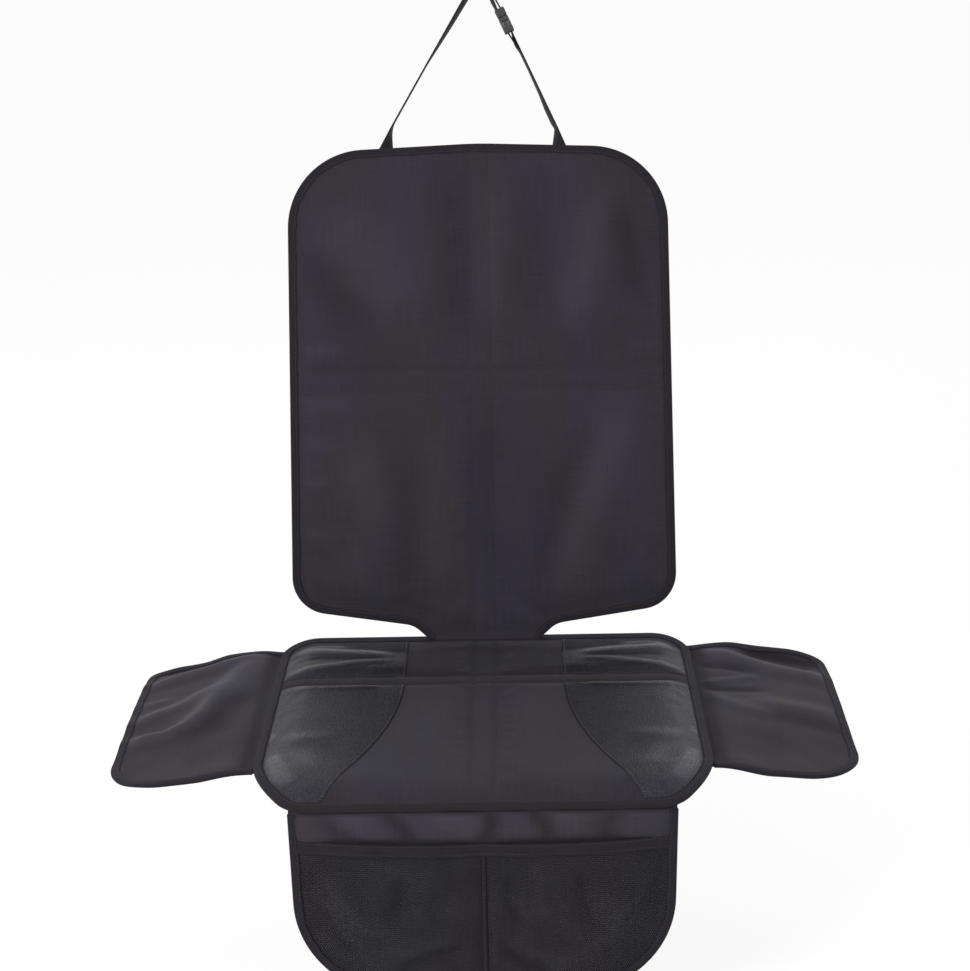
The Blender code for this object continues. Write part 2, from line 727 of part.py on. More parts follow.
def make_straps():
    wrap = BUCKLE_BAR / 2 + CLEAR + WEBBING / 2
    way = strap_rise(1)[1]
    across = Vector((way.y, -way.x))
    top_bar = loop_apex - way * BUCKLE_TO_LOOP - across * wrap
    low_bar = top_bar - way * (SOCKET_LENGTH + CLEAR + PLUG_LENGTH - BUCKLE_BAR)

    over = rounded([(*strap_rise(-1)[0], 0), (*loop_apex, LOOP_RADIUS), (*(top_bar - across * wrap), 0)])
    path = rising(-1, over[1]) + over[2:]
    path += half_turn(top_bar, -across * wrap, -way)[1:]
    path += [top_bar + across * (wrap + STRAP_TAIL * 0.1) + way * STRAP_TAIL]
    strap("left_strap", path, -1)

    path = rising(1, low_bar + across * wrap)
    path += half_turn(low_bar, across * wrap, way)[1:]
    path += [low_bar - across * wrap - way * STRAP_FOLDED]
    strap("right_strap", path, 1)
    make_buckle(low_bar, way, across)


def half_turn(centre, start, way):
    """Half a circle about a centre, from centre + start to centre - start, bulging along way."""
    count = math.ceil(math.pi / STEP_ANGLE / 2)
    reach = start.length
    return [
        centre + start * math.cos(math.pi * k / count) + way * reach * math.sin(math.pi * k / count)
        for k in range(count + 1)
    ]


def make_buckle(low_bar, way, across):
    """A side-release buckle: its width lies along the panel's normal, so it is seen edge-on."""
    base = low_bar - way * BUCKLE_BAR / 2

    def place(along, thick, wide):
        at = base + way * along + across * thick
        return back_place(at.x, at.y, STRAP_BACK - STRAP_WIDTH / 2 + wide)

    def solid(work, name):
        """The work mesh, drawn as (along, thick, wide), put in its place on the strap."""
        for vert in work.verts:
            vert.co = place(*vert.co)
        bmesh.ops.recalc_face_normals(work, faces=work.faces)
        mesh = bpy.data.meshes.new(name)
        work.to_mesh(mesh)
        work.free()
        return add_object(name, mesh, "buckle")

    def block(name, low, high, bevel=0.0):
        work = bmesh.new()
        bmesh.ops.create_cube(work, size=1.0)
        for vert in work.verts:
            for i in range(3):
                vert.co[i] = low[i] + (high[i] - low[i]) * (vert.co[i] + 0.5)
        if bevel:
            bmesh.ops.bevel(
                work, geom=list(work.edges), offset=bevel, segments=3, profile=0.5, affect="EDGES"
            )
        return solid(work, name)

    def prism(name, outline, half_width):
        work = bmesh.new()
        low = [work.verts.new((*p, -half_width)) for p in outline]
        face = work.faces.new(low)
        made = bmesh.ops.extrude_face_region(work, geom=[face])
        for vert in made["geom"]:
            if isinstance(vert, bmesh.types.BMVert):
                vert.co.z = half_width
        return solid(work, name)

    def combine(target, tool, operation):
        modifier = target.modifiers.new(tool.name, "BOOLEAN")
        modifier.operation = operation
        modifier.object = tool
        modifier.solver = "EXACT"
        tool.hide_render = True
        tool.display_type = "WIRE"

    half, deep = BUCKLE_WIDTH / 2, BUCKLE_THICKNESS / 2
    eye = STRAP_WIDTH / 2 + 2 * CLEAR

    def strap_eye(name, end, way_in):
        """The room for webbing about the bar at a moulding's end: way_in points into the moulding."""
        centre = Vector((end + way_in * BUCKLE_BAR / 2, 0))
        start = Vector((0, BUCKLE_BAR / 2 * way_in))
        bar = half_turn(centre, start, Vector((way_in, 0)))
        outside = end - way_in * BUCKLE_BAR
        inside = end + way_in * (BUCKLE_BAR + BUCKLE_SLOT)
        far = deep * 2 * way_in
        outline = [(outside, far), (outside, start.y), *bar, (outside, -start.y), (outside, -far)]
        return prism(name, [*outline, (inside, -far), (inside, far)], eye)

    socket = block("buckle_socket", (0, -deep, -half), (SOCKET_LENGTH, deep, half), BUCKLE_EDGE)
    combine(socket, strap_eye("socket_eye", 0, 1), "DIFFERENCE")
    chamber = BUCKLE_BAR + BUCKLE_SLOT + BUCKLE_WALL
    room = deep - BUCKLE_WALL
    wide = half - BUCKLE_WALL
    hollow = block("socket_chamber", (chamber, -room, -wide), (SOCKET_LENGTH * 2, room, wide))
    combine(socket, hollow, "DIFFERENCE")
    window_end = SOCKET_LENGTH - BUCKLE_WALL * 3
    window = block("socket_window", (chamber * 1.2, -room * 0.7, -half * 2), (window_end, room * 0.7, half * 2))
    combine(socket, window, "DIFFERENCE")

    start = SOCKET_LENGTH + CLEAR
    end = start + PLUG_LENGTH
    plug = block("buckle_plug", (start, -deep, -half), (end, deep, half), BUCKLE_EDGE)
    combine(plug, strap_eye("plug_eye", end, -1), "DIFFERENCE")
    thick = (room - 2 * CLEAR) * 0.6
    side_prong = wide - 2 * CLEAR - PRONG / 2
    for i, at in enumerate((-side_prong, 0, side_prong)):
        low = (start - PRONG_REACH, -thick, at - PRONG / 2)
        combine(plug, block(f"prong_{i}", low, (start + BUCKLE_WALL, thick, at + PRONG / 2)), "UNION")


def main():
    clear_scene()
    make_seat()
    make_back()
    make_wing("left", -1, WING_LEFT_DROOP, WING_LEFT_TILT)
    make_wing("right", 1, WING_RIGHT_DROOP, WING_RIGHT_TILT)
    make_flap()
    make_straps()


main()
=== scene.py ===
# %% [markdown]
# # A car seat protector mat
# This lesson dresses a finished CAD model. The real thing is one sewn mat: a padded back panel, a padded
# seat panel with leather-look patches, two thin side wings, a front flap with net pockets, and a strap with a
# buckle that goes round a headrest. Every soft solid of the CAD is replaced here by a finer piece that lies
# in the same place. The buckle is hard, so its CAD solids stay and only get a finish.

import math

import bmesh
import bpy
import numpy as np
from mathutils import Matrix, Vector
from mathutils.bvhtree import BVHTree
from mathutils.geometry import delaunay_2d_cdt
from mathutils.kdtree import KDTree


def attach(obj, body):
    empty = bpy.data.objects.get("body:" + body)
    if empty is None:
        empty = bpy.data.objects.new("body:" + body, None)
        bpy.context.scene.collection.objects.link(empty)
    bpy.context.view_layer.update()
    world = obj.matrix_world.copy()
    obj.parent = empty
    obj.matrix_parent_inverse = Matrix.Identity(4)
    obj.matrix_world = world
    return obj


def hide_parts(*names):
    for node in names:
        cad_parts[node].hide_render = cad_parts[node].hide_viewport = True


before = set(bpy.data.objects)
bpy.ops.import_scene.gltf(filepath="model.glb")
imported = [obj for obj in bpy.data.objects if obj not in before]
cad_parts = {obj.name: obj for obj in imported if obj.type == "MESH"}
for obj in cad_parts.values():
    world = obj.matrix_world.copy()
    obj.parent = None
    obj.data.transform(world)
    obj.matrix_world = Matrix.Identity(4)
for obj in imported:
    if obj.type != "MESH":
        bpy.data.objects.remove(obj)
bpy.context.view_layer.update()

# %% [markdown]
# ## The camera
# The photograph was taken from a little above, with a long lens. Its viewpoint was found by fitting the
# mat's outline, so it is written here as an aim point, a distance and three angles. A camera looks along
# its own -Z, so its matrix is built from its right, up and backward directions.

# %% Camera
PITCH, AZIMUTH, ROLL = math.radians(17.4), math.radians(0.8), math.radians(1.2)
AIM, DISTANCE = Vector((0.003, 0.25, 0.191)), 3.2
FOCAL_PIXELS, FRAME_PIXELS, SENSOR = 2727, 971, 36


def camera_axes():
    """The camera's right and up directions, and where it looks."""
    level = math.cos(PITCH)
    ahead = Vector((-math.sin(AZIMUTH) * level, math.cos(AZIMUTH) * level, -math.sin(PITCH)))
    right = Vector((math.cos(AZIMUTH), math.sin(AZIMUTH), 0))
    up = right.cross(ahead)
    c, s = math.cos(ROLL), math.sin(ROLL)
    return c * right - s * up, s * right + c * up, ahead


right, up, ahead = camera_axes()
lens = bpy.data.cameras.new("camera")
lens.sensor_width = SENSOR
lens.lens = FOCAL_PIXELS * SENSOR / FRAME_PIXELS
lens.clip_start, lens.clip_end = 0.1, 50
camera = bpy.data.objects.new("camera", lens)
turned = Matrix((right, up, -ahead)).transposed().to_4x4()
camera.matrix_world = Matrix.Translation(AIM - ahead * DISTANCE) @ turned
bpy.context.scene.collection.objects.link(camera)
bpy.context.scene.camera = camera
print("camera at", [round(x, 3) for x in camera.matrix_world.translation], "lens", round(lens.lens, 1), "mm")

# %% [markdown]
# ## Sizes
# A maker works from a pattern with a few sizes. These are the pattern's sizes in metres, as in the CAD
# source, so that every new piece lies where its solid lies. A few follow the photograph more closely than the
# solids do, by some millimetres: how much of the tape shows, the front corners of the seat and the wings, and
# the curve of the leather's inner edge.

# %% Sizes of the pattern
SEAT_FRONT, SEAT_REAR, SEAT_FOLD = -0.225, 0.225, 0.095
SEAT_REAR_WIDTH, SEAT_FRONT_WIDTH, FRONT_EDGE_WIDTH = 0.476, 0.488, 0.406
SEAT_REAR_CORNER, SEAT_FRONT_CORNER, FRONT_EDGE_CORNER, FRONT_TAPER = 0.045, 0.140, 0.042, 0.060
SEAT_PAD, FRONT_ROLL, FRONT_ROLL_LENGTH = 0.010, 0.011, 0.075
REAR_RISE, REAR_RISE_LENGTH = 0.008, 0.060
BACK_HEIGHT, BACK_BOTTOM_WIDTH, BACK_TOP_WIDTH, BACK_SHOULDER = 0.578, 0.451, 0.439, 0.006
BACK_TOP_CORNER, BACK_BOTTOM_CORNER, BACK_PAD = 0.090, 0.042, 0.007
BACK_LEAN, BACK_FOLD_HEIGHT = math.radians(12), 0.306
NECK_WIDTH, NECK_HEIGHT, NECK_FILLET, HIP_RISE = 0.133, 0.003, 0.0025, 0.021
NECK_FLARE, NECK_FLARE_RISE, NECK_FLARE_BEND = 0.017, 0.0155, 0.030
FOLD_HALF, FOLD_SHOULDER, FOLD_LEDGE, FOLD_STRIP_DEPTH, FOLD_SEAM_DEPTH = 0.0125, 0.009, 0.004, 0.0014, 0.0034
EDGE, TAPE, TAPE_SHOW, CLEAR, PAD_SLOPE, CLOTH = 0.0024, 0.0009, 0.0084, 0.0003, 0.026, 0.0020
BAND, EDGE_MIDDLE = TAPE_SHOW + 0.0012, EDGE / 2 + CLEAR + TAPE
JOIN_HALF, THIN = NECK_WIDTH / 2 + TAPE + 3 * CLEAR, EDGE_MIDDLE + EDGE / 2
LEATHER, LEATHER_INNER, LEATHER_FLARE_FROM, LEATHER_FLARE_RADIUS = 0.0010, 0.090, 0.080, 0.600
WING_REACH, WING_FRONT_INSET, WING_REAR_INSET = 0.160, 0.084, 0.022
WING_FRONT_TAPER, WING_REAR_TAPER, WING_FRONT_CORNER, WING_REAR_CORNER = 0.014, 0.005, 0.072, 0.036
WING_TUCK, WING_FOLD, WING_BELLY = 0.008, 0.003, 0.005
FLAP_WIDTH, FLAP_HEIGHT, FLAP_TAPER, FLAP_CORNER, FLAP_SET_BACK = 0.402, 0.212, 0.005, 0.110, 0.005
NET, POCKET_MOUTH, POCKET_MOUTH_SAG, POCKET_DEPTH, POCKET_SWELL = 0.0008, 0.034, 0.006, 0.014, 0.045
POCKET_SEAM, HEM_HEIGHT = 0.010, 0.013
STRAP_WIDTH, WEBBING, STRAP_SPREAD, STRAP_SEWN, STRAP_TURN = 0.016, 0.0014, 0.217, 0.008, 0.036
STRAP_FOLDED, STRAP_TAIL, LOOP_HEIGHT, LOOP_ASIDE, LOOP_RADIUS = 0.023, 0.040, 0.206, 0.009, 0.010
STRAP_ASIDE = -0.0044
BUCKLE_TO_LOOP, BUCKLE_BAR, BUCKLE_LENGTH = 0.053, 0.0024, 0.0195 + CLEAR + 0.0100
print("flat length:", round(BACK_HEIGHT + SEAT_REAR - SEAT_FRONT + FLAP_HEIGHT, 3), "m")

# %% [markdown]
# ## Numbers that turn into nodes
# Materials and Geometry Nodes are both graphs of nodes. Instead of dragging noodles, a small class wraps a
# socket and overloads the arithmetic signs, so that `1 - mask` adds the Math node that it needs. One method
# adds every other node from its type, its settings and its sockets.

# %% A graph of nodes written as arithmetic
class Value:
    """A socket that can stand in a sum."""

    def __init__(self, graph, socket):
        self.graph, self.socket = graph, socket

    def sum(self, operation, *others):
        return self.graph.node("ShaderNodeMath", {"operation": operation}, dict(enumerate(others)))

    def __add__(self, other):
        return self.sum("ADD", self, other)

    def __sub__(self, other):
        return self.sum("SUBTRACT", self, other)

    def __rsub__(self, other):
        return self.sum("SUBTRACT", other, self)

    def __mul__(self, other):
        return self.sum("MULTIPLY", self, other)

    __radd__, __rmul__ = __add__, __mul__

    def wave(self, length):
        """1 to -1 and back over each length."""
        turned = self * (math.tau / length)
        return turned.sum("SINE", turned)

    def between(self, low, high):
        """0 below low, 1 above high and smooth between."""
        smooth = {"interpolation_type": "SMOOTHSTEP", "clamp": True}
        return self.graph.node("ShaderNodeMapRange", smooth, {0: self, 1: low, 2: high, 3: 0.0, 4: 1.0})


class Graph:
    """A node tree, and the one way that nodes are added to it."""

    def __init__(self, tree):
        self.tree = tree

    def node(self, kind, settings=None, sockets=None, output=0):
        made = self.tree.nodes.new(kind)
        for name, value in (settings or {}).items():
            setattr(made, name, value)
        for name, value in (sockets or {}).items():
            if isinstance(value, Value):
                self.tree.links.new(value.socket, made.inputs[name])
            else:
                made.inputs[name].default_value = value
        return Value(self, made.outputs[output])


class Finish(Graph):
    """A material: its plain numbers go straight onto the shader's own sockets."""

    def __init__(self, name, **plain):
        self.material = bpy.data.materials.new(name)
        self.material.use_nodes = True
        super().__init__(self.material.node_tree)
        self.shader = self.tree.nodes["Principled BSDF"]
        for socket, number in plain.items():
            self.shader.inputs[socket.replace("_", " ")].default_value = number

    def place(self, source, stretch=(1, 1, 1)):
        """Coordinates in metres, from UV (a piece's own flat pattern) or Object, stretched if need be."""
        vector = self.node("ShaderNodeTexCoord", output={"UV": 2, "Object": 3}[source])
        return self.node("ShaderNodeMapping", {}, {"Vector": vector, "Scale": stretch})

    def axes(self, vector):
        made = self.node("ShaderNodeSeparateXYZ", {}, {0: vector}).socket.node
        return [Value(self, output) for output in made.outputs]

    def noise(self, vector, scale, detail):
        return self.node("ShaderNodeTexNoise", {}, {"Vector": vector, "Scale": scale, "Detail": detail})

    def painted_light_attribute(self):
        """The painted light that the mesh stores at each point: above 0 a painted highlight, below 0 painted
        shade.
        """
        return self.node("ShaderNodeAttribute", {"attribute_name": "rub_and_painted_light"}, output=2)

    def scaled(self, colour, by):
        """A colour made brighter or darker."""
        return self.node("ShaderNodeVectorMath", {"operation": "SCALE"}, {0: colour, "Scale": by})

    def mix(self, share, first, second):
        """A colour between two colours, each four numbers or a Value."""
        return self.node("ShaderNodeMix", {"data_type": "RGBA"}, {0: share, 6: first, 7: second}, output=2)

    def finish(self, colour, roughness, height, depth, strength):
        """Wires what varies over the surface: colour, roughness, and a height of 0 to 1 times its depth."""
        bump = self.node("ShaderNodeBump", {}, {"Height": height, "Distance": depth, "Strength": strength})
        for name, value in (("Normal", bump), ("Base Color", colour), ("Roughness", roughness)):
            self.tree.links.new(value.socket, self.shader.inputs[name])
        return self.material


print("graph helpers are ready")

# %% [markdown]
# ## Floor, backdrop and light
# A product photograph is lit by big soft boxes in front of a white sweep. The floor and the world shine
# white to the camera and to mirrors only, so the white adds little light to the mat, and the floor keeps a
# faint shadow. The main soft box stands in front on the left and lights the upright panel. A wide one hangs
# high behind the mat and grazes the lying panels, so that folds and the rolled leather catch it, and a weak
# one stands on the right.

# %% Floor, world and lamps
FLOOR_LEVEL, FLOOR_HALF = -0.262, 9.0
FLOOR_GLOW, WORLD_LIGHT = 0.90, 0.27


def seen_directly(graph):
    """1 for rays from the camera, and for those that a mirror or glass sends on."""
    rays = graph.node("ShaderNodeLightPath").socket.node.outputs
    found = [Value(graph, rays[name]) for name in ("Is Camera Ray", "Is Glossy Ray", "Is Transmission Ray")]
    return found[0].sum("MAXIMUM", found[0], found[1].sum("MAXIMUM", found[1], found[2]))


def make_floor():
    mesh = bpy.data.meshes.new("floor")
    corners = [(x * FLOOR_HALF, y * FLOOR_HALF, FLOOR_LEVEL) for x, y in ((-1, -1), (1, -1), (1, 1), (-1, 1))]
    mesh.from_pydata(corners, [], [(0, 1, 2, 3)])
    floor = bpy.data.objects.new("floor", mesh)
    bpy.context.scene.collection.objects.link(floor)
    graph = Finish("floor_white", Base_Color=(0.8, 0.8, 0.8, 1), Roughness=0.9)
    glow = graph.node("ShaderNodeEmission", {}, {"Color": (1, 1, 1, 1), "Strength": FLOOR_GLOW})
    veil = graph.node("ShaderNodeBsdfDiffuse", {}, {"Color": (0.24, 0.24, 0.24, 1)})
    white = graph.node("ShaderNodeAddShader", {}, {0: glow, 1: veil})
    plain = Value(graph, graph.shader.outputs[0])
    both = graph.node("ShaderNodeMixShader", {}, {0: seen_directly(graph), 1: plain, 2: white})
    graph.tree.links.new(both.socket, graph.tree.nodes["Material Output"].inputs["Surface"])
    mesh.materials.append(graph.material)


def make_world(level):
    world = bpy.data.worlds.new("studio")
    bpy.context.scene.world = world
    world.use_nodes = True
    graph = Graph(world.node_tree)
    graph.tree.nodes.clear()
    dim = graph.node("ShaderNodeBackground", {}, {"Color": (1, 1, 1, 1), "Strength": level})
    white = graph.node("ShaderNodeBackground", {}, {"Color": (1, 1, 1, 1), "Strength": 1.0})
    both = graph.node("ShaderNodeMixShader", {}, {0: seen_directly(graph), 1: dim, 2: white})
    output = graph.tree.nodes.new("ShaderNodeOutputWorld")
    graph.tree.links.new(both.socket, output.inputs["Surface"])


def soft_box(name, place, aim, size, watts):
    light = bpy.data.lights.new(name, "AREA")
    light.shape, light.size, light.size_y, light.energy = "RECTANGLE", size[0], size[1], watts
    box = bpy.data.objects.new(name, light)
    box.location = place
    box.rotation_euler = (Vector(aim) - Vector(place)).to_track_quat("-Z", "Y").to_euler()
    bpy.context.scene.collection.objects.link(box)


make_floor()
make_world(WORLD_LIGHT)
soft_box("front_left", (-1.5, -2.1, 1.35), (0, 0.05, 0.25), (0.7, 0.9), 31)
soft_box("right_side", (2.1, -0.2, 0.9), (0, 0.0, 0.15), (0.4, 1.2), 5)
soft_box("behind", (-0.2, 1.9, 2.4), (0, -0.05, 0.0), (2.4, 0.7), 8)
bpy.context.scene.view_settings.view_transform = "Standard"
print("floor at", FLOOR_LEVEL, "m, below the flap")

# %% [markdown]
# ## Woven cloth
# The panels are dark oxford cloth, a plain weave of thick yarn. A yarn is about a millimetre wide, less than
# a mesh can hold, so the weave is a bump made from two waves in the cloth's own flat coordinates. Long soft
# noise gives the dye its faint drift between blue and brown, and short stretched noise makes single yarns
# thicker or paler. Light and shade are also painted into the colour: a painted highlight where a fold stands
# up, painted shade in its valleys and on parts that lie in shade, and the mesh says how much in an attribute
# of its own.

# %% Oxford cloth
YARN = 0.0011
BLUE, BROWN, GREY = (0.0405, 0.0372, 0.0525, 1), (0.0435, 0.0358, 0.0425, 1), (0.0355, 0.0332, 0.0420, 1)


def woven(name, blue, brown, grey):
    cloth = Finish(name, Specular_IOR_Level=0.28, Specular_Tint=(0.88, 0.76, 1.0, 1), Sheen_Weight=0.08)
    across, along, _ = cloth.axes(cloth.place("UV"))
    drift = cloth.noise(cloth.place("UV", (13, 2.6, 1)), 1.0, 3.0)
    blotch = cloth.noise(cloth.place("UV", (6, 5, 1)), 1.3, 4.0)
    warp = cloth.noise(cloth.place("UV", (1 / YARN, 22, 1)), 1.0, 1.0)
    weft = cloth.noise(cloth.place("UV", (22, 1 / YARN, 1)), 1.0, 1.0)
    level_bars = cloth.noise(cloth.place("UV", (9, 330, 1)), 1.0, 2.0)
    bars = level_bars + cloth.noise(cloth.place("UV", (330, 7, 1)), 1.0, 2.0)
    weave = across.wave(2 * YARN) * along.wave(2 * YARN)
    slub = warp + weft - 1.0
    tint = cloth.mix(drift.between(0.40, 0.60), blue, brown)
    tint = cloth.mix(blotch.between(0.50, 0.72) * 0.8, tint, grey)
    # Painted light from the mesh's attribute: paler on fold ridges, darker in valleys and on shaded parts.
    painted_light = cloth.painted_light_attribute()
    colour = cloth.scaled(tint, 1.0 + slub * 0.60 + (bars - 1.0) * 0.11 + weave * 0.12 + painted_light * 0.34)
    rough = 0.62 + blotch * 0.25 + slub * 0.10 - painted_light * 0.1
    return cloth.finish(colour, rough, weave * 0.5 + slub * 0.8, 0.00024, 0.8)


OXFORD = woven("oxford_cloth", BLUE, BROWN, GREY)
print("cloth yarn", YARN * 1000, "mm")

# %% [markdown]
# ## Binding tape and webbing
# Tape is woven narrow, with ribs across it and a hard selvage on each side. Its pattern has to run along the
# tape round every corner, so these pieces carry a UV map: along the tape in metres, and across it.

# %% Tape and webbing
def ribbed(name, colour, rib, depth, rough, selvage):
    """Ribs and selvage cords that repeat at these lengths in metres."""
    tape = Finish(name, Specular_IOR_Level=0.2, Specular_Tint=(0.88, 0.78, 1.0, 1), Sheen_Weight=0.04)
    along, across, _ = tape.axes(tape.place("UV"))
    ribs = along.wave(rib)
    cords = across.wave(selvage)
    dust = tape.noise(tape.place("UV", (30, 160, 1)), 1.0, 3.0)
    fine = tape.noise(tape.place("UV", (900, 2600, 1)), 1.0, 1.0)
    height = ribs * 0.5 + cords * 0.25 + fine * 0.6
    low, high = ([k * c for c in colour] + [1] for k in (0.72, 1.30))
    shade = (dust * 0.7 + fine * 0.25 + ribs * 0.08).between(0.15, 0.85)
    return tape.finish(tape.mix(shade, low, high), rough + dust * 0.2, height, depth, 0.8)


TAPE_WEAVE = (0.0011, 0.00020, 0.70, 0.0040)
TAPE_FINISH = ribbed("binding_tape", (0.0300, 0.0275, 0.0335), *TAPE_WEAVE)
SOFT_TAPE_FINISH = ribbed("cloth_tape", (0.0285, 0.0262, 0.0320), *TAPE_WEAVE)
WEBBING_FINISH = ribbed("webbing", (0.026, 0.025, 0.028), 0.0016, 0.00035, 0.62, 0.0026)
print("tape and webbing are ready")

# %% [markdown]
# ## Leather-look patches
# The patches are coated fabric with an embossed grain. Voronoi cells about 2.3 mm wide make the grain, with
# the valleys between the cells a little rougher than their crowns, so the sheen breaks up as it does on the
# real thing where the light grazes it. A crease that stands up gets a painted highlight, pale and smoother,
# and the mesh says where, in the same attribute of painted light as on the cloth. Where that attribute is
# below 0 the leather gets painted shade, darker and rougher.

# %% Leather
DARK_COAT, PALE_COAT = (0.0068, 0.0062, 0.0084, 1), (0.0212, 0.0200, 0.0246, 1)
# A painted highlight colour, mixed in where a crease stands up.
PAINTED_HIGHLIGHT = (0.090, 0.092, 0.106, 1)


def grained():
    leather = Finish("grained_leather", Specular_IOR_Level=0.40, Specular_Tint=(0.80, 0.74, 1.0, 1))
    flat = leather.place("UV")
    bend = leather.noise(flat, 260.0, 2.0)
    cell = {"Vector": flat, "Scale": 430.0, "Randomness": 0.95}
    pore = leather.node("ShaderNodeTexVoronoi", {"feature": "DISTANCE_TO_EDGE"}, cell)
    crown = pore.between(0.02, 0.28)
    broad = leather.noise(leather.place("UV", (9, 22, 1)), 1.0, 4.0)
    painted_light = leather.painted_light_attribute()
    mottle = leather.noise(flat, 420.0, 2.0)
    paleness = (broad * 0.3 + crown * 0.7 + mottle * 0.5 - 0.25).between(0.15, 0.85)
    # Painted light: the stored attribute scales the colour paler or darker, and high creases get the painted
    # highlight.
    colour = leather.scaled(leather.mix(paleness, DARK_COAT, PALE_COAT), 1.0 + painted_light)
    colour = leather.mix(painted_light.between(0.45, 1.35) * 0.75, colour, PAINTED_HIGHLIGHT)
    dull = (painted_light * -1.0).between(0.2, 0.9)
    rough = 0.42 - crown * 0.12 + broad * 0.12 - painted_light * 0.12 + dull * 0.22
    return leather.finish(colour, rough, crown * 0.7 + bend * 0.9, 0.00062, 1.0)


LEATHER_FINISH = grained()
print("leather is ready")

# %% [markdown]
# ## Backing, net yarn, thread and moulded plastic
# The side that lies on the car seat isn't in the photograph, so it gets a plain close cloth with small raised
# grip dots, drawn by the product of two waves. Net yarn and thread are smooth fibres. The buckle is moulded
# plastic with a fine spark-eroded texture and a few rubbed places.

# %% Backing, net, thread and plastic
GRIP_DOTS = 0.011


def backing():
    cloth = Finish("backing", Specular_IOR_Level=0.35)
    across, along, _ = cloth.axes(cloth.place("UV"))
    dot = (across.wave(GRIP_DOTS) * along.wave(GRIP_DOTS)).between(0.62, 0.72)
    grain = cloth.noise(cloth.place("UV"), 1500.0, 2.0)
    drift = cloth.noise(cloth.place("UV", (6, 6, 1)), 1.0, 3.0)
    plain = cloth.mix(drift, (0.040, 0.039, 0.042, 1), (0.052, 0.050, 0.054, 1))
    colour = cloth.mix(dot, plain, (0.022, 0.022, 0.023, 1))
    return cloth.finish(colour, 0.85 - dot * 0.4, dot + grain * 0.25, 0.0004, 0.8)


def yarn_finish(name, low, high, rough, patches=45.0):
    yarn = Finish(name, Specular_IOR_Level=0.4, Sheen_Weight=0.2, Sheen_Roughness=0.4)
    spot = yarn.noise(yarn.place("Object"), patches, 3.0)
    twist = yarn.noise(yarn.place("Object"), 2400.0, 1.0)
    colour = yarn.mix(spot.between(0.3, 0.7), low, high)
    return yarn.finish(colour, rough + spot * 0.2, twist, 0.0001, 0.6)


def moulded():
    plastic = Finish("moulded_plastic", Specular_IOR_Level=0.5, Coat_Roughness=0.3)
    speck = plastic.noise(plastic.place("Object"), 2600.0, 2.0)
    rub_and_painted_light = plastic.noise(plastic.place("Object"), 130.0, 3.0).between(0.45, 0.75)
    colour = plastic.mix(rub_and_painted_light, (0.040, 0.040, 0.042, 1), (0.075, 0.075, 0.078, 1))
    return plastic.finish(colour, 0.46 - rub_and_painted_light * 0.14, speck, 0.00012, 0.7)


BACKING = backing()
NET_YARN = yarn_finish("net_yarn", (0.016, 0.015, 0.020, 1), (0.044, 0.042, 0.053, 1), 0.46, 17.0)
DARK_THREAD = yarn_finish("channel_thread", (0.008, 0.008, 0.010, 1), (0.014, 0.013, 0.016, 1), 0.60)
THREAD = yarn_finish("sewing_thread", (0.034, 0.033, 0.037, 1), (0.058, 0.056, 0.062, 1), 0.50)
PALE_THREAD = yarn_finish("patch_thread", (0.12, 0.118, 0.122, 1), (0.22, 0.216, 0.22, 1), 0.45)
PLASTIC = moulded()
for node in ("buckle_socket", "buckle_plug"):
    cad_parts[node].data.materials[0] = PLASTIC
print("buckle gets", PLASTIC.name)

# %% [markdown]
# ## Flat patterns
# Cloth starts as a flat pattern: an outline with rounded corners and the lines that will be sewn. The
# outline is stepped evenly, so that a stitch every few millimetres and a tape round the edge can follow it.

# %% Outlines and distances
OUTLINE_STEP, SEAM_STEP = 0.004, 0.003


def unit(vector):
    return vector / np.linalg.norm(vector)


def ease(t):
    """0 to 1, level at both ends."""
    t = np.clip(t, 0, 1)
    return t * t * (3 - 2 * t)


def crest(t):
    """0 to 1, steep at first and level at the top."""
    return np.sin(math.pi / 2 * np.clip(t, 0, 1))


def rounded(corners, step=OUTLINE_STEP):
    """An evenly stepped path through (x, y, radius) corners."""
    points = [np.array(corners[0][:2], float)]
    for before, here, after in zip(corners, corners[1:], corners[2:]):
        corner, radius = np.array(here[:2], float), here[2]
        if not radius:
            points.append(corner)
            continue
        back, ahead = unit(np.array(before[:2]) - corner), unit(np.array(after[:2]) - corner)
        half = math.acos(float(back @ ahead)) / 2
        centre = corner + unit(back + ahead) * radius / math.sin(half)
        start, stop = (corner + way * radius / math.tan(half) - centre for way in (back, ahead))
        sweep = math.atan2(start[0] * stop[1] - start[1] * stop[0], float(start @ stop))
        for turn in np.linspace(0, sweep, max(3, math.ceil(abs(sweep) / 0.06))):
            c, s = math.cos(turn), math.sin(turn)
            points.append(centre + (c * start[0] - s * start[1], s * start[0] + c * start[1]))
    points.append(np.array(corners[-1][:2], float))
    return evenly(np.array(points), step)


def evenly(path, step):
    """The path with points an even distance apart."""
    run = run_of(path)
    marks = np.linspace(0, run[-1], max(2, round(run[-1] / step) + 1))
    return np.stack([np.interp(marks, run, path[:, k]) for k in range(path.shape[1])], axis=1)


def line(a, b, step=OUTLINE_STEP):
    return evenly(np.array([a, b], float), step)


def closed(outline):
    return np.concatenate([outline, outline[:1]])


def run_of(path):
    """How far along the path each point is."""
    return np.concatenate([[0], np.cumsum(np.linalg.norm(np.diff(path, axis=0), axis=1))])


def inward(path):
    """The direction into the outline at each point of an anticlockwise path."""
    tangent = np.gradient(path, axis=0)
    tangent /= np.linalg.norm(tangent, axis=1)[:, None]
    return np.stack([-tangent[:, 1], tangent[:, 0]], axis=1)


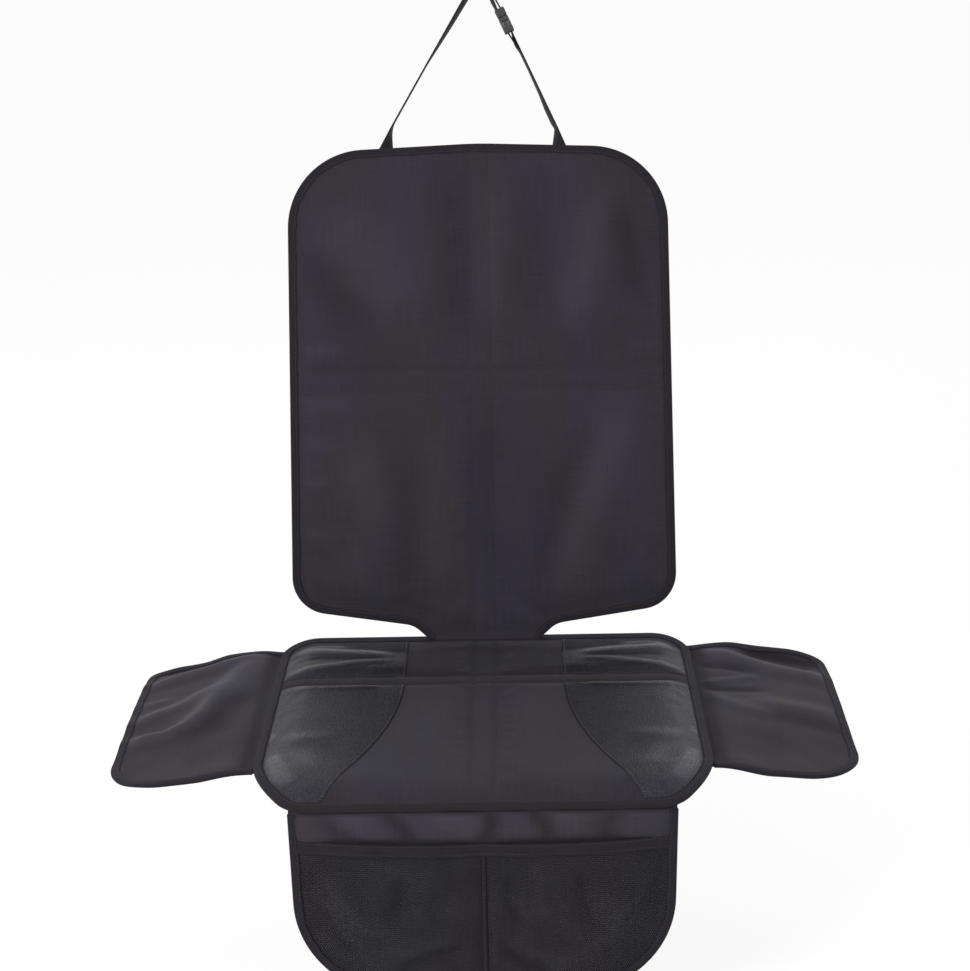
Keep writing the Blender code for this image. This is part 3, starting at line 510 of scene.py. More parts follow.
def nearest(points, path):
    """How far each point is from a path, and at what share of the path's length it is nearest."""
    start, run = path[:-1], np.diff(path, axis=0)
    lengths = np.linalg.norm(run, axis=1)
    before = np.concatenate([[0], np.cumsum(lengths)])
    best, share = np.full(len(points), np.inf), np.zeros(len(points))
    for i in range(len(run)):
        t = np.clip((points - start[i]) @ run[i] / max(lengths[i] ** 2, 1e-12), 0, 1)
        away = np.linalg.norm(points - start[i] - t[:, None] * run[i], axis=1)
        closer = away < best
        best[closer] = away[closer]
        share[closer] = (before[i] + t[closer] * lengths[i]) / before[-1]
    return best, share


def inside(points, outline):
    """Which points lie in a closed outline."""
    hit = np.zeros(len(points), bool)
    for a, b in zip(outline, np.roll(outline, -1, axis=0)):
        crosses = (a[1] > points[:, 1]) != (b[1] > points[:, 1])
        if a[1] != b[1]:
            hit ^= crosses & (points[:, 0] < a[0] + (b[0] - a[0]) * (points[:, 1] - a[1]) / (b[1] - a[1]))
    return hit


def filled(outline, seams, step):
    """A flat pattern cut into near-equal triangles that keep to its outline and its seams."""
    points = [Vector(p) for p in outline]
    edges = [(i, (i + 1) % len(outline)) for i in range(len(outline))]
    for seam in seams:
        edges += [(len(points) + i, len(points) + i + 1) for i in range(len(seam) - 1)]
        points += [Vector(p) for p in seam]
    tree = KDTree(len(points))
    for i, p in enumerate(points):
        tree.insert((p.x, p.y, 0), i)
    tree.balance()
    low, high = outline.min(0), outline.max(0)
    rows = np.arange(low[1] + step * 0.4, high[1], step * 0.866)
    columns = np.arange(low[0] + step * 0.25, high[0], step)
    grid = np.array([(x + (k % 2) * step / 2, y) for k, y in enumerate(rows) for x in columns])
    grid = grid[inside(grid, outline)]
    points += [Vector(p) for p in grid if tree.find((*p, 0))[2] > step * 0.55]
    found = delaunay_2d_cdt(points, edges, [list(range(len(outline)))], 1, 1e-7)
    return np.array([tuple(p) for p in found[0]]), np.array(found[2])


print("outlines are stepped every", OUTLINE_STEP * 1000, "mm")

# %% [markdown]
# ## From flat pattern to solid cloth
# A panel is two skins over one flat pattern, a face and a backing, joined round the rim. The pattern's flat
# coordinates go with every corner as its UV map, so a weave runs straight along the cloth even where the
# cloth folds.

# %% Pieces from skins and sections
def add_piece(name, mesh, *materials):
    piece = bpy.data.objects.new(name, mesh)
    bpy.context.scene.collection.objects.link(piece)
    for finish in materials:
        mesh.materials.append(finish)
    mesh.shade_smooth()
    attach(piece, "root")
    return piece


def stands_for(piece, node):
    """The piece is shown instead of a CAD node, which is hidden."""
    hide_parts(node)


def uv_map(mesh, corners):
    layer = mesh.uv_layers.new(name="flat")
    layer.data.foreach_set("uv", np.asarray(corners, np.float32).ravel())


def slab(name, flat, top, bottom, place, materials, rub_and_painted_light, flip=False):
    """A solid sheet: place(points, heights) puts both skins of a flat pattern where they lie."""
    points, faces = flat
    count = len(points)
    verts = np.concatenate([place(points, top), place(points, bottom)])
    sides = np.concatenate([faces[:, [0, 1]], faces[:, [1, 2]], faces[:, [2, 0]]])
    paired = {tuple(e) for e in sides[:, ::-1].tolist()}
    rim = [e for e in sides.tolist() if tuple(e) not in paired]
    quads = [(b, a, a + count, b + count) for a, b in rim]
    polygons = [*faces.tolist(), *(faces[:, ::-1] + count).tolist(), *quads]
    if flip:
        polygons = [p[::-1] for p in polygons]
    mesh = bpy.data.meshes.new(name)
    mesh.from_pydata(verts.tolist(), [], polygons)
    uv_map(mesh, points[np.concatenate(polygons) % count])
    # This attribute holds painted light: above 0 a painted highlight, below 0 painted shade.
    painted_light_layer = mesh.attributes.new("rub_and_painted_light", "FLOAT", "POINT")
    painted_light_layer.data.foreach_set("value", np.tile(rub_and_painted_light, 2).astype(np.float32))
    piece = add_piece(name, mesh, *materials)
    if len(materials) > 1:
        behind = np.zeros(len(polygons), np.int32)
        behind[len(faces) : 2 * len(faces)] = 1
        mesh.polygons.foreach_set("material_index", behind)
    mesh.set_sharp_from_angle(angle=math.radians(60))
    return piece


def swept(name, rings, finish, along=None, across=None):
    """A closed tube through rings of points. UV runs along it in metres and round its section."""
    rings = np.asarray(rings)
    count, sides = rings.shape[:2]
    along = run_of(rings.mean(1)) if along is None else along
    across = run_of(rings[0]) if across is None else across
    polygons, corners = [], []
    for i in range(count - 1):
        for j in range(sides):
            k = (j + 1) % sides
            polygons.append((i * sides + j, i * sides + k, (i + 1) * sides + k, (i + 1) * sides + j))
            here, there = along[i], along[i + 1]
            corners += [(here, across[j]), (here, across[k]), (there, across[k]), (there, across[j])]
    for ring, order in ((0, -1), (count - 1, 1)):
        polygons.append([ring * sides + j for j in range(sides)][::order])
        corners += [(along[ring], across[j]) for j in range(sides)][::order]
    work = bpy.data.meshes.new(name)
    work.from_pydata(rings.reshape(-1, 3).tolist(), [], polygons)
    uv_map(work, corners)
    solid = bmesh.new()
    solid.from_mesh(work)
    bmesh.ops.recalc_face_normals(solid, faces=solid.faces)
    solid.to_mesh(work)
    solid.free()
    piece = add_piece(name, work, finish)
    work.set_sharp_from_angle(angle=math.radians(50))
    return piece


TAPE_CROWN = 0.00021
WANDER = [(0.0004, 0.047, 0), (0.0003, 0.0193, 1)]
PUCKER = [(0.00016, 0.0117, 0), (0.00014, 0.0071, 2)]


def uneven(run, waves):
    """What (height, length, phase) waves add up to along a run: sewing is never quite straight."""
    return sum(height * np.sin(run * math.tau / length + phase) for height, length, phase in waves)


def edge_tape(name, path, place, low, high, middle=0.0, finish=TAPE_FINISH):
    """Binding tape folded over a cloth edge from low to high about middle, puckered where it is sewn."""
    into, marks = inward(path), run_of(path)
    floor, roof = middle + low - CLEAR - TAPE, middle + high + CLEAR + TAPE
    core, half = (floor + roof) / 2, (roof - floor) / 2
    bulge = CLEAR + TAPE
    turn = np.linspace(math.pi / 2, -math.pi / 2, 7)
    outer = [(-bulge * math.cos(a), core + half * math.sin(a)) for a in turn]
    section = [(TAPE_SHOW, roof - TAPE + 0.0001), (TAPE_SHOW, roof - 0.0003), (TAPE_SHOW - 0.0006, roof)]
    section += [(TAPE_SHOW * 0.55, roof + TAPE_CROWN), (0.002, roof + 0.0001), *outer, (0.002, floor)]
    section += [(TAPE_SHOW * 0.55, floor), (TAPE_SHOW, floor), (TAPE_SHOW, floor + TAPE - 0.0001)]
    section += [(0.0, floor + TAPE), (0.0, roof - TAPE)]
    across = run_of(np.array(section))
    wander, pucker = uneven(marks, WANDER), uneven(marks, PUCKER)
    rings = []
    for reach, height in section:
        share = max(0.0, reach / TAPE_SHOW)
        at = path + into * (reach + wander * share)[:, None]
        rings.append(place(at, height + pucker * (share if height > core else 0.0)))
    return swept(name, np.stack(rings, axis=1), finish, marks, across)


print("tape shows", TAPE_SHOW * 1000, "mm of its width")

# %% [markdown]
# ## Soft folds
# Cloth that is laid by hand keeps folds. A fold is written as a line of points on the flat pattern with a
# width and a height: the cloth rises by a bell curve across the line and fades to both of its ends. A
# negative height is a valley.

# %% Folds as lines
def folded(points, folds):
    """The extra height that a list of (line, width, height) folds gives each point."""
    lift = np.zeros(len(points))
    for path, width, height in folds:
        away, share = nearest(points, evenly(np.array(path, float), 0.01))
        lift += height * np.exp(-((away / width) ** 2)) * ease(share / 0.3) * ease((1 - share) / 0.3)
    return lift


def ripple(points, seed, length, height):
    """Gentle uneven waves of about one length, the same every time."""
    chance = np.random.default_rng(seed)
    lift = np.zeros(len(points))
    for _ in range(9):
        angle, phase = chance.uniform(0, math.tau), chance.uniform(0, math.tau)
        scale = chance.uniform(0.7, 1.6)
        way = np.array([math.cos(angle), math.sin(angle)]) * math.tau / (length * scale)
        lift += np.sin(points @ way + phase)
    return lift * height / 4


MOMENTS = 14


def puffed(points, faces, held, pressure, growth, cap):
    """A cloth face after it is blown up a little between its held stitches, by Blender's Cloth."""
    mesh = bpy.data.meshes.new("trial")
    mesh.from_pydata(points.tolist(), [], faces.tolist())
    trial = bpy.data.objects.new("trial", mesh)
    bpy.context.scene.collection.objects.link(trial)
    group = trial.vertex_groups.new(name="held")
    group.add(np.flatnonzero(held).tolist(), 1.0, "REPLACE")
    cloth = trial.modifiers.new("cloth", "CLOTH")
    rules = cloth.settings
    rules.vertex_group_mass = "held"
    rules.quality, rules.mass, rules.air_damping = 4, 0.35, 3.0
    rules.tension_stiffness = rules.compression_stiffness = 18
    rules.shear_stiffness, rules.bending_stiffness = 8, 0.6
    rules.use_pressure, rules.uniform_pressure_force = True, pressure
    rules.shrink_min = -growth
    rules.effector_weights.gravity = 0
    cloth.collision_settings.use_collision = False
    for moment in range(1, MOMENTS + 1):
        bpy.context.scene.frame_set(moment)
    shown = trial.evaluated_get(bpy.context.evaluated_depsgraph_get()).data
    moved = np.zeros(len(points) * 3, np.float32)
    shown.vertices.foreach_get("co", moved)
    bpy.context.scene.frame_set(1)
    bpy.data.objects.remove(trial)
    change = moved.reshape(-1, 3) - points
    print("cloth rose by up to", round(float(change[:, 2].max()) * 1000, 2), "mm")
    return points + cap * np.tanh(change / cap)


print("each pad is blown up for", MOMENTS, "moments")

# %% [markdown]
# ## Stitches
# Every seam shows a row of short threads. Geometry Nodes turn any line of points into such a row: the line
# is cut into equal steps, and a small thread is set on each step, turned along the line and laid flat on
# the cloth by a direction that is stored with the points.

# %% A recipe for stitches
LAID = 0.0002


class Recipe(Graph):
    """A Geometry Nodes tree with named inputs."""

    def __init__(self, name, inputs):
        super().__init__(bpy.data.node_groups.new(name, "GeometryNodeTree"))
        kinds = {"Geometry": "NodeSocketGeometry", "Finish": "NodeSocketMaterial"}
        face = self.tree.interface
        self.names = {}
        for label in ["Geometry", *inputs, "Finish"]:
            kind = kinds.get(label, "NodeSocketFloat")
            self.names[label] = face.new_socket(name=label, in_out="INPUT", socket_type=kind).identifier
        face.new_socket(name="Geometry", in_out="OUTPUT", socket_type="NodeSocketGeometry")
        source = self.tree.nodes.new("NodeGroupInput")
        self.given = {label: Value(self, source.outputs[label]) for label in self.names}

    def end(self, geometry):
        """Realize Instances and Set Material come last, because an export keeps only plain meshes."""
        real = self.node("GeometryNodeRealizeInstances", {}, {0: geometry})
        smooth = self.node("GeometryNodeSetShadeSmooth", {}, {0: real})
        sockets = {"Geometry": smooth, "Material": self.given["Finish"]}
        dressed = self.node("GeometryNodeSetMaterial", {}, sockets)
        self.tree.links.new(dressed.socket, self.tree.nodes.new("NodeGroupOutput").inputs[0])

    def make(self, name, mesh, **given):
        """Runs the recipe on a mesh, and keeps the result as a plain mesh piece."""
        carrier = bpy.data.objects.new(name + "_line", mesh)
        bpy.context.scene.collection.objects.link(carrier)
        steps = carrier.modifiers.new("recipe", "NODES")
        steps.node_group = self.tree
        for label, value in given.items():
            steps[self.names[label]] = value
        graph = bpy.context.evaluated_depsgraph_get()
        result = bpy.data.meshes.new_from_object(carrier.evaluated_get(graph), depsgraph=graph)
        result.name = name
        bpy.data.objects.remove(carrier)
        return add_piece(name, result)


def stitch_recipe():
    recipe = Recipe("stitches", ["Pitch", "Length", "Width", "Rise"])
    given = recipe.given
    curve = recipe.node("GeometryNodeMeshToCurve", {}, {"Mesh": given["Geometry"]})
    step = {"Curve": curve, "Length": given["Pitch"]}
    stepped = recipe.node("GeometryNodeResampleCurve", {"mode": "LENGTH"}, step)
    tangent = recipe.node("GeometryNodeInputTangent")
    stored = {"data_type": "FLOAT_VECTOR"}
    outward = recipe.node("GeometryNodeInputNamedAttribute", stored, {"Name": "outward"})
    turned = recipe.node("FunctionNodeAlignRotationToVector", {"axis": "X"}, {"Vector": tangent})
    laid = {"Rotation": turned, "Vector": outward}
    turned = recipe.node("FunctionNodeAlignRotationToVector", {"axis": "Z", "pivot_axis": "X"}, laid)
    thread = recipe.node("GeometryNodeMeshUVSphere", {}, {"Segments": 6, "Rings": 4, "Radius": 0.5})
    size = {"X": given["Length"], "Y": given["Width"], "Z": given["Rise"]}
    scale = recipe.node("ShaderNodeCombineXYZ", {}, size)
    sockets = {"Points": stepped, "Instance": thread, "Rotation": turned, "Scale": scale}
    recipe.end(recipe.node("GeometryNodeInstanceOnPoints", {}, sockets))
    return recipe


STITCHES = stitch_recipe()


def sew(name, lines, finish=THREAD, pitch=0.0036, length=0.0026, width=0.0007, rise=0.0005):
    """Rows of stitches along lines, each a line's points and their directions out of the cloth."""
    points, edges, outward = [], [], []
    for path, out in lines:
        edges += [(len(points) + i, len(points) + i + 1) for i in range(len(path) - 1)]
        points += [tuple(p) for p in path]
        outward += [tuple(o) for o in out]
    mesh = bpy.data.meshes.new(name)
    mesh.from_pydata(points, edges, [])
    mesh.attributes.new("outward", "FLOAT_VECTOR", "POINT").data.foreach_set("vector", np.ravel(outward))
    piece = STITCHES.make(name, mesh, Pitch=pitch, Length=length, Width=width, Rise=rise, Finish=finish)
    print(name, len(piece.data.polygons), "faces")
    return piece


def on_cloth(path, place, height):
    """A row for sew(): points that lie at a height over a pattern, with the way out of the cloth."""
    base, above = place(path, height), place(path, height + 0.001)
    return base, (above - base) / 0.001


# %% [markdown]
# ## The seat panel
# The seat panel is a layer of foam between cloth and backing. Two fold channels cross it, one from side to
# side and one from front to rear, each two seams with a thin strip between them. The face is drawn as a
# crowned surface first. Blender's Cloth then blows it up a little while the seams and the rim are held,
# which leaves the uneven tension that real quilting has.

# %% Seat panel
seat_path = rounded([
    (-JOIN_HALF, SEAT_REAR, 0),
    (-SEAT_REAR_WIDTH / 2, SEAT_REAR, SEAT_REAR_CORNER),
    (-SEAT_FRONT_WIDTH / 2, SEAT_FRONT + FRONT_TAPER, SEAT_FRONT_CORNER),
    (-FRONT_EDGE_WIDTH / 2, SEAT_FRONT, FRONT_EDGE_CORNER),
    (FRONT_EDGE_WIDTH / 2, SEAT_FRONT, FRONT_EDGE_CORNER),
    (SEAT_FRONT_WIDTH / 2, SEAT_FRONT + FRONT_TAPER, SEAT_FRONT_CORNER),
    (SEAT_REAR_WIDTH / 2, SEAT_REAR, SEAT_REAR_CORNER),
    (JOIN_HALF, SEAT_REAR, 0),
])
seat_outline = np.concatenate([seat_path, line(seat_path[-1], seat_path[0])[1:-1]])


def seat_level(y):
    """How far the panel's cloth rises at the rear and rolls down at the front."""
    roll = np.maximum(0, 1 - (y - SEAT_FRONT) / FRONT_ROLL_LENGTH)
    rise = np.maximum(0, 1 - (SEAT_REAR - y) / REAR_RISE_LENGTH)
    return REAR_RISE * rise**2 - FRONT_ROLL * roll**2


def seat_place(points, height):
    points = np.asarray(points, float)
    return np.stack([points[:, 0], points[:, 1], seat_level(points[:, 1]) + height], axis=1)


def fold_drop(distance):
    """How far a channel sinks below the pad, by the distance from its middle."""
    bulge = (FOLD_SEAM_DEPTH - FOLD_STRIP_DEPTH) * crest((FOLD_HALF - distance) / FOLD_LEDGE)
    shoulder = FOLD_SEAM_DEPTH * (1 - crest((distance - FOLD_HALF) / FOLD_SHOULDER))
    return np.where(distance < FOLD_HALF, FOLD_SEAM_DEPTH - bulge, shoulder)


def crowned(points, outline, pad, cross, depth):
    """Height of a quilted face: thin at the rim, crowned inside, sunk along its two channels."""
    away = nearest(points, closed(outline))[0] - BAND
    drop = np.maximum(fold_drop(np.abs(points[:, 1] - cross)), fold_drop(np.abs(points[:, 0]))) * depth
    return THIN + crest(away / PAD_SLOPE) * np.maximum(0, pad - THIN - drop), away


def channel_lines(outline, cross):
    """The seams of both channels, from rim to rim."""
    low, high = outline.min(0) - 0.01, outline.max(0) + 0.01
    seams = []
    for offset in (-FOLD_HALF, FOLD_HALF):
        seams.append(line((offset, low[1]), (offset, high[1]), SEAM_STEP))
        seams.append(line((low[0], cross + offset), (high[0], cross + offset), SEAM_STEP))
    kept = []
    for seam in seams:
        room = inside(seam, outline) & (nearest(seam, closed(outline))[0] > BAND)
        kept.append(seam[room])
    return kept


RIM_FREE, PAINTED_LIGHT_LIFT = 0.012, 0.0036


def quilt(outline, pad, cross, depth, pressure, growth, cap, folds, step):
    """A quilted panel's flat pattern, its face's height when blown up and folded, its folds' painted light,
    its seams.
    """
    seams = channel_lines(outline, cross)
    flat = filled(outline, seams, step)
    points, faces = flat
    height, away = crowned(points, outline, pad, cross, depth)
    held = away < 0.001
    for seam in seams:
        held |= nearest(points, seam)[0] < 0.0008
    start = np.column_stack([points, height])
    moved = puffed(start, faces, held, pressure, growth, cap)
    lift = folded(points, folds) * ease(away / RIM_FREE)
    height = np.maximum(THIN, moved[:, 2] + lift)
    # Painted light: a fold's ridge is painted paler and its valley darker.
    return flat, height, np.clip(lift / PAINTED_LIGHT_LIFT, -1, 1), seams


def make_pad(word, outline, path, place, face, tape_finish):
    """A panel between its face and its backing, which steps up at the rim, and the tape folded round it."""
    flat, height, rub_and_painted_light = face
    away = nearest(flat[0], closed(outline))[0]
    under = np.where(away < BAND - 0.0006, EDGE_MIDDLE - EDGE / 2, 0.0)
    pad = slab(f"{word}_cushion", flat, height, under, place, (OXFORD, BACKING), rub_and_painted_light)
    stands_for(pad, f"{word}_panel")
    tape = edge_tape(f"{word}_edge_tape", path, place, -EDGE / 2, EDGE / 2, EDGE_MIDDLE, tape_finish)
    stands_for(tape, f"{word}_binding")
    print(word, "face:", len(flat[1]), "triangles, crown", round(float(height.max()) * 1000, 1), "mm")


SEAT_FOLDS = [
    ([(-0.19, -0.17), (-0.10, -0.19), (0.0, -0.185)], 0.020, 0.0012),
    ([(0.19, -0.17), (0.11, -0.19), (0.03, -0.185)], 0.020, 0.0012),
    ([(-0.06, -0.16), (-0.05, 0.0), (-0.055, 0.07)], 0.018, 0.0008),
    ([(0.06, -0.16), (0.05, -0.02), (0.055, 0.07)], 0.018, 0.0008),
]
seat_flat, seat_height, seat_painted_light, seat_seams = quilt(
    seat_outline, SEAT_PAD, SEAT_FOLD, depth=1.0, pressure=1.6, growth=0.002, cap=0.0014,
    folds=SEAT_FOLDS, step=0.0046)
# Painted shade: the lying seat is painted darker all over, and darker still towards the rear where the back
# panel shades it.
seat_painted_light = seat_painted_light - 0.40 - 1.20 * ease((seat_flat[0][:, 1] + 0.01) / 0.17)
seat_face = (seat_flat, seat_height, seat_painted_light)
make_pad("seat", seat_outline, seat_path, seat_place, seat_face, SOFT_TAPE_FINISH)

# %% [markdown]
# ## The leather-look patches
# Four patches of coated fabric are sewn on the seat panel, two in front of the cross channel and two behind
# it. They bend with the pad, so each takes its height from a ray dropped on the finished face. The rear ones
# are creased from side to side, where the mat is folded for storing, and those creases catch the light. Every
# crease that stands up also gets a painted highlight. The strip behind the rear creases gets painted shade
# for the back panel's shadow, and the front part of the front patches gets painted light.

# %% Leather patches
def height_over(flat, height):
    """A function that gives the height of a finished face under each point."""
    tree = BVHTree.FromPolygons(np.column_stack([flat[0], height]).tolist(), flat[1].tolist())

    def under(points):
        found = [tree.ray_cast((x, y, 0.1), (0, 0, -1))[0] for x, y in points]
        return np.array([hit.z if hit else THIN for hit in found])

    return under


on_seat = height_over(seat_flat, seat_height)


def leather_inner(y):
    """Half the width of the cloth strip between the patches."""
    ahead = np.maximum(0.0, LEATHER_FLARE_FROM - y)
    radius = np.maximum(LEATHER_FLARE_RADIUS, ahead * 1.5)
    return LEATHER_INNER + radius - np.sqrt(radius**2 - ahead**2)


def patch_outline(low, high):
    """The right-hand patch between two heights along the seat, inside the binding, anticlockwise."""
    ring = seat_path + inward(seat_path) * BAND
    right = ring[(ring[:, 0] > 0) & (ring[:, 1] > low) & (ring[:, 1] < high)]
    right = right[right[:, 0] > leather_inner(right[:, 1]) + 0.001]
    ys = np.linspace(high, max(low, right[0, 1]), 60)
    inner = np.column_stack([leather_inner(ys), ys])
    return evenly(closed(np.concatenate([right, inner])), SEAM_STEP)[:-1]


PATCH_STEP, PATCH_SEWN, SHADE_FROM, PAINTED_LIGHT_FROM = 0.0032, 0.0024, 0.158, -0.110
REAR_CREASES = [
    ([(0.095, 0.160), (0.125, 0.168), (0.160, 0.175), (0.205, 0.180), (0.240, 0.176)], 0.0075, 0.0022),
    ([(0.100, 0.150), (0.140, 0.158), (0.190, 0.160), (0.225, 0.152)], 0.0060, -0.0012),
    ([(0.090, 0.151), (0.135, 0.148), (0.180, 0.134), (0.215, 0.120), (0.245, 0.112)], 0.0070, 0.0019),
    ([(0.120, 0.128), (0.160, 0.124), (0.200, 0.114)], 0.0060, -0.0007),
    ([(0.150, 0.192), (0.185, 0.194), (0.225, 0.188)], 0.0050, 0.0006),
]
FRONT_CREASES = [
    ([(0.08, 0.071), (0.15, 0.068), (0.24, 0.066)], 0.0060, 0.0016),
    ([(0.236, -0.050), (0.231, -0.076)], 0.0080, 0.0018),
    ([(0.228, -0.104), (0.223, -0.130), (0.212, -0.170), (0.198, -0.196)], 0.0090, 0.0019),
    ([(0.196, -0.060), (0.190, -0.120), (0.170, -0.180)], 0.018, 0.0010),
    ([(0.225, -0.085), (0.19, -0.072), (0.15, -0.075)], 0.012, 0.0009),
    ([(0.215, -0.105), (0.180, -0.098), (0.150, -0.108)], 0.012, -0.0007),
]


def make_patch(name, side, low, high, creases):
    outline = patch_outline(low, high)
    points, faces = filled(outline, [], PATCH_STEP)
    away = nearest(points, closed(outline))[0]
    mirrored = points * (side, 1)
    base = on_seat(mirrored)
    crease = folded(points, creases)
    lift = np.maximum(0.0, crease + ripple(mirrored, 5 + side, 0.045, 0.00025) * ease(away / 0.0035))
    top = base + CLEAR + LEATHER * (0.35 + 0.65 * ease(away / 0.002)) + lift * ease(away / 0.006)
    # Painted light: a painted highlight on creases that stand up, painted shade for the back panel's shadow
    # at the rear, and painted light towards the front.
    rub_and_painted_light = np.clip(crease / 0.0013, -0.7, 1.3)
    rub_and_painted_light = rub_and_painted_light - 0.95 * ease((points[:, 1] - SHADE_FROM) / 0.026) * np.clip(1.0 - rub_and_painted_light, 0, 1)
    rub_and_painted_light = rub_and_painted_light + 0.45 * ease((PAINTED_LIGHT_FROM - points[:, 1]) / 0.070)
    skins = (mirrored, faces)
    patch = slab(name, skins, top, base + CLEAR * 0.3, seat_place, (LEATHER_FINISH,), rub_and_painted_light, flip=side < 0)
    stands_for(patch, name.replace("_patch", "_leather"))
    return outline


patch_rows, patch_rim = [], BAND + 2 * CLEAR
for side, word in ((-1, "left"), (1, "right")):
    for part, low, high, creases in (
        ("front", SEAT_FRONT + patch_rim, SEAT_FOLD - FOLD_HALF, FRONT_CREASES),
        ("rear", SEAT_FOLD + FOLD_HALF, SEAT_REAR - patch_rim, REAR_CREASES),
    ):
        outline = make_patch(f"{word}_{part}_patch", side, low, high, creases)
        bottom = outline[:, 1].min()
        ys = np.linspace(max(low, bottom) + 0.003, high - 0.002, 70)
        row = np.column_stack([side * (leather_inner(ys) + PATCH_SEWN), ys])
        patch_rows.append(on_cloth(row, seat_place, on_seat(row) + CLEAR + LEATHER + LAID / 2))
sew("patch_stitches", patch_rows, PALE_THREAD, pitch=0.0040, length=0.0028, width=0.0008, rise=0.0006)
print("four patches with", len(patch_rows), "stitched edges")

# %% [markdown]
# ## The back panel
# The back panel is made in the same way, but it stands upright, leans back by 12 degrees and has thinner
# foam. In the photograph it is nearly flat, with broad soft folds: a long one that climbs from the neck to
# the right edge, one below the right shoulder, and a row of short puckers along the left edge.

# %% Back panel
BACK_FOOT = SEAT_REAR - 2 * EDGE
BACK_BASE = np.array([0, BACK_FOOT, float(seat_level(np.array(BACK_FOOT))) + THIN + CLEAR])
BACK_UP = np.array([0, math.sin(BACK_LEAN), math.cos(BACK_LEAN)])
BACK_OUT = np.array([0, -math.cos(BACK_LEAN), math.sin(BACK_LEAN)])
back_half = [
    (NECK_WIDTH / 2, 0, 0),
    (NECK_WIDTH / 2, NECK_HEIGHT, NECK_FILLET),
    (NECK_WIDTH / 2 + NECK_FLARE, NECK_HEIGHT + NECK_FLARE_RISE, NECK_FLARE_BEND),
    (BACK_BOTTOM_WIDTH / 2, NECK_HEIGHT + NECK_FLARE_RISE + HIP_RISE, BACK_BOTTOM_CORNER),
    (BACK_TOP_WIDTH / 2, BACK_HEIGHT - BACK_SHOULDER, BACK_TOP_CORNER),
    (0, BACK_HEIGHT + BACK_SHOULDER * 0.4, 0.4),
]
back_path = rounded(back_half + [(-x, y, r) for x, y, r in reversed(back_half) if x > 0])
back_outline = np.concatenate([back_path, line(back_path[-1], back_path[0])[1:-1]])


def back_place(points, height):
    points = np.asarray(points, float)
    height = np.broadcast_to(height, len(points))
    return BACK_BASE + points[:, :1] * (1, 0, 0) + points[:, 1:2] * BACK_UP + height[:, None] * BACK_OUT


BACK_FOLDS = [
    ([(0.085, 0.020), (0.110, 0.110), (0.140, 0.200), (0.185, 0.300)], 0.026, 0.0033),
    ([(0.055, 0.020), (0.075, 0.100), (0.100, 0.190), (0.140, 0.270)], 0.018, -0.0020),
    ([(0.100, 0.350), (0.128, 0.440), (0.150, 0.550)], 0.022, 0.0031),
    ([(0.160, 0.530), (0.172, 0.460), (0.192, 0.380)], 0.015, -0.0023),
    ([(-0.035, 0.570), (-0.028, 0.450), (-0.026, 0.330)], 0.020, -0.0020),
    ([(0.022, 0.570), (0.016, 0.450), (0.012, 0.340)], 0.018, 0.0017),
    ([(0.070, 0.570), (0.066, 0.460), (0.060, 0.350)], 0.020, -0.0014),
    ([(-0.190, 0.520), (-0.130, 0.450), (-0.070, 0.370)], 0.040, 0.0028),
    ([(-0.225, 0.470), (-0.180, 0.430), (-0.120, 0.360)], 0.022, -0.0017),
    ([(-0.225, 0.345), (-0.200, 0.344), (-0.150, 0.342)], 0.0080, 0.0017),
    ([(-0.225, 0.282), (-0.195, 0.280), (-0.140, 0.282)], 0.0100, 0.0020),
    ([(-0.225, 0.234), (-0.200, 0.232), (-0.160, 0.230)], 0.0090, 0.0016),
    ([(-0.225, 0.189), (-0.205, 0.187), (-0.170, 0.186)], 0.0080, 0.0014),
    ([(-0.225, 0.127), (-0.205, 0.126), (-0.165, 0.120)], 0.0090, 0.0016),
    ([(0.225, 0.345), (0.200, 0.343), (0.165, 0.340)], 0.0080, 0.0012),
    ([(-0.160, 0.030), (-0.130, 0.130), (-0.140, 0.260)], 0.030, 0.0020),
    ([(-0.090, 0.020), (-0.090, 0.130), (-0.100, 0.270)], 0.020, -0.0016),
    ([(0.020, 0.020), (0.000, 0.140), (0.005, 0.290)], 0.020, -0.0014),
    ([(-0.048, 0.020), (-0.052, 0.130), (-0.050, 0.270)], 0.020, 0.0014),
]
back_flat, back_height, back_painted_light, back_seams = quilt(
    back_outline, BACK_PAD, BACK_FOLD_HEIGHT, depth=0.70, pressure=1.2, growth=0.003, cap=0.0018,
    folds=BACK_FOLDS, step=0.0052)
# The back's folds carry painted light: ridges painted paler, valleys darker.
back_face = (back_flat, back_height, back_painted_light)
make_pad("back", back_outline, back_path, back_place, back_face, TAPE_FINISH)

# %% [markdown]
# ## Stitching on the two pads
# The channels are sewn with one row each side, which lies down in its groove, and the tape is sewn near its
# inner edge, right through the pad.

# %% Rows on the pads
TAPE_SEWN = TAPE_SHOW - 0.0022


def tape_row(path, place, height):
    """The row along a tape's inner edge."""
    return on_cloth(path + inward(path) * TAPE_SEWN, place, height)


on_back = height_over(back_flat, back_height)
seam_rows = [on_cloth(s, seat_place, on_seat(s)) for s in seat_seams if len(s) > 2]
seam_rows += [on_cloth(s, back_place, on_back(s)) for s in back_seams if len(s) > 2]
sew("channel_stitches", seam_rows, DARK_THREAD, length=0.0031, width=0.0010, rise=0.0004)
pad_tapes = ((seat_path, seat_place), (back_path, back_place))
sew("pad_tape_stitches", [tape_row(path, place, THIN + CLEAR + TAPE + LAID) for path, place in pad_tapes])

# %% [markdown]
# ## The side wings
# A wing is one layer of cloth that hangs over the side of a car seat. Here it lies spread out, tucked under
# the seat's tape, drooping and full of slanting folds that start where the mat was folded. The folds are
# lines again. Their places come from the photograph, and the tape on the outer edges rides over them too.
# Each wing has a side, a droop and a tilt in metres, and its folds.

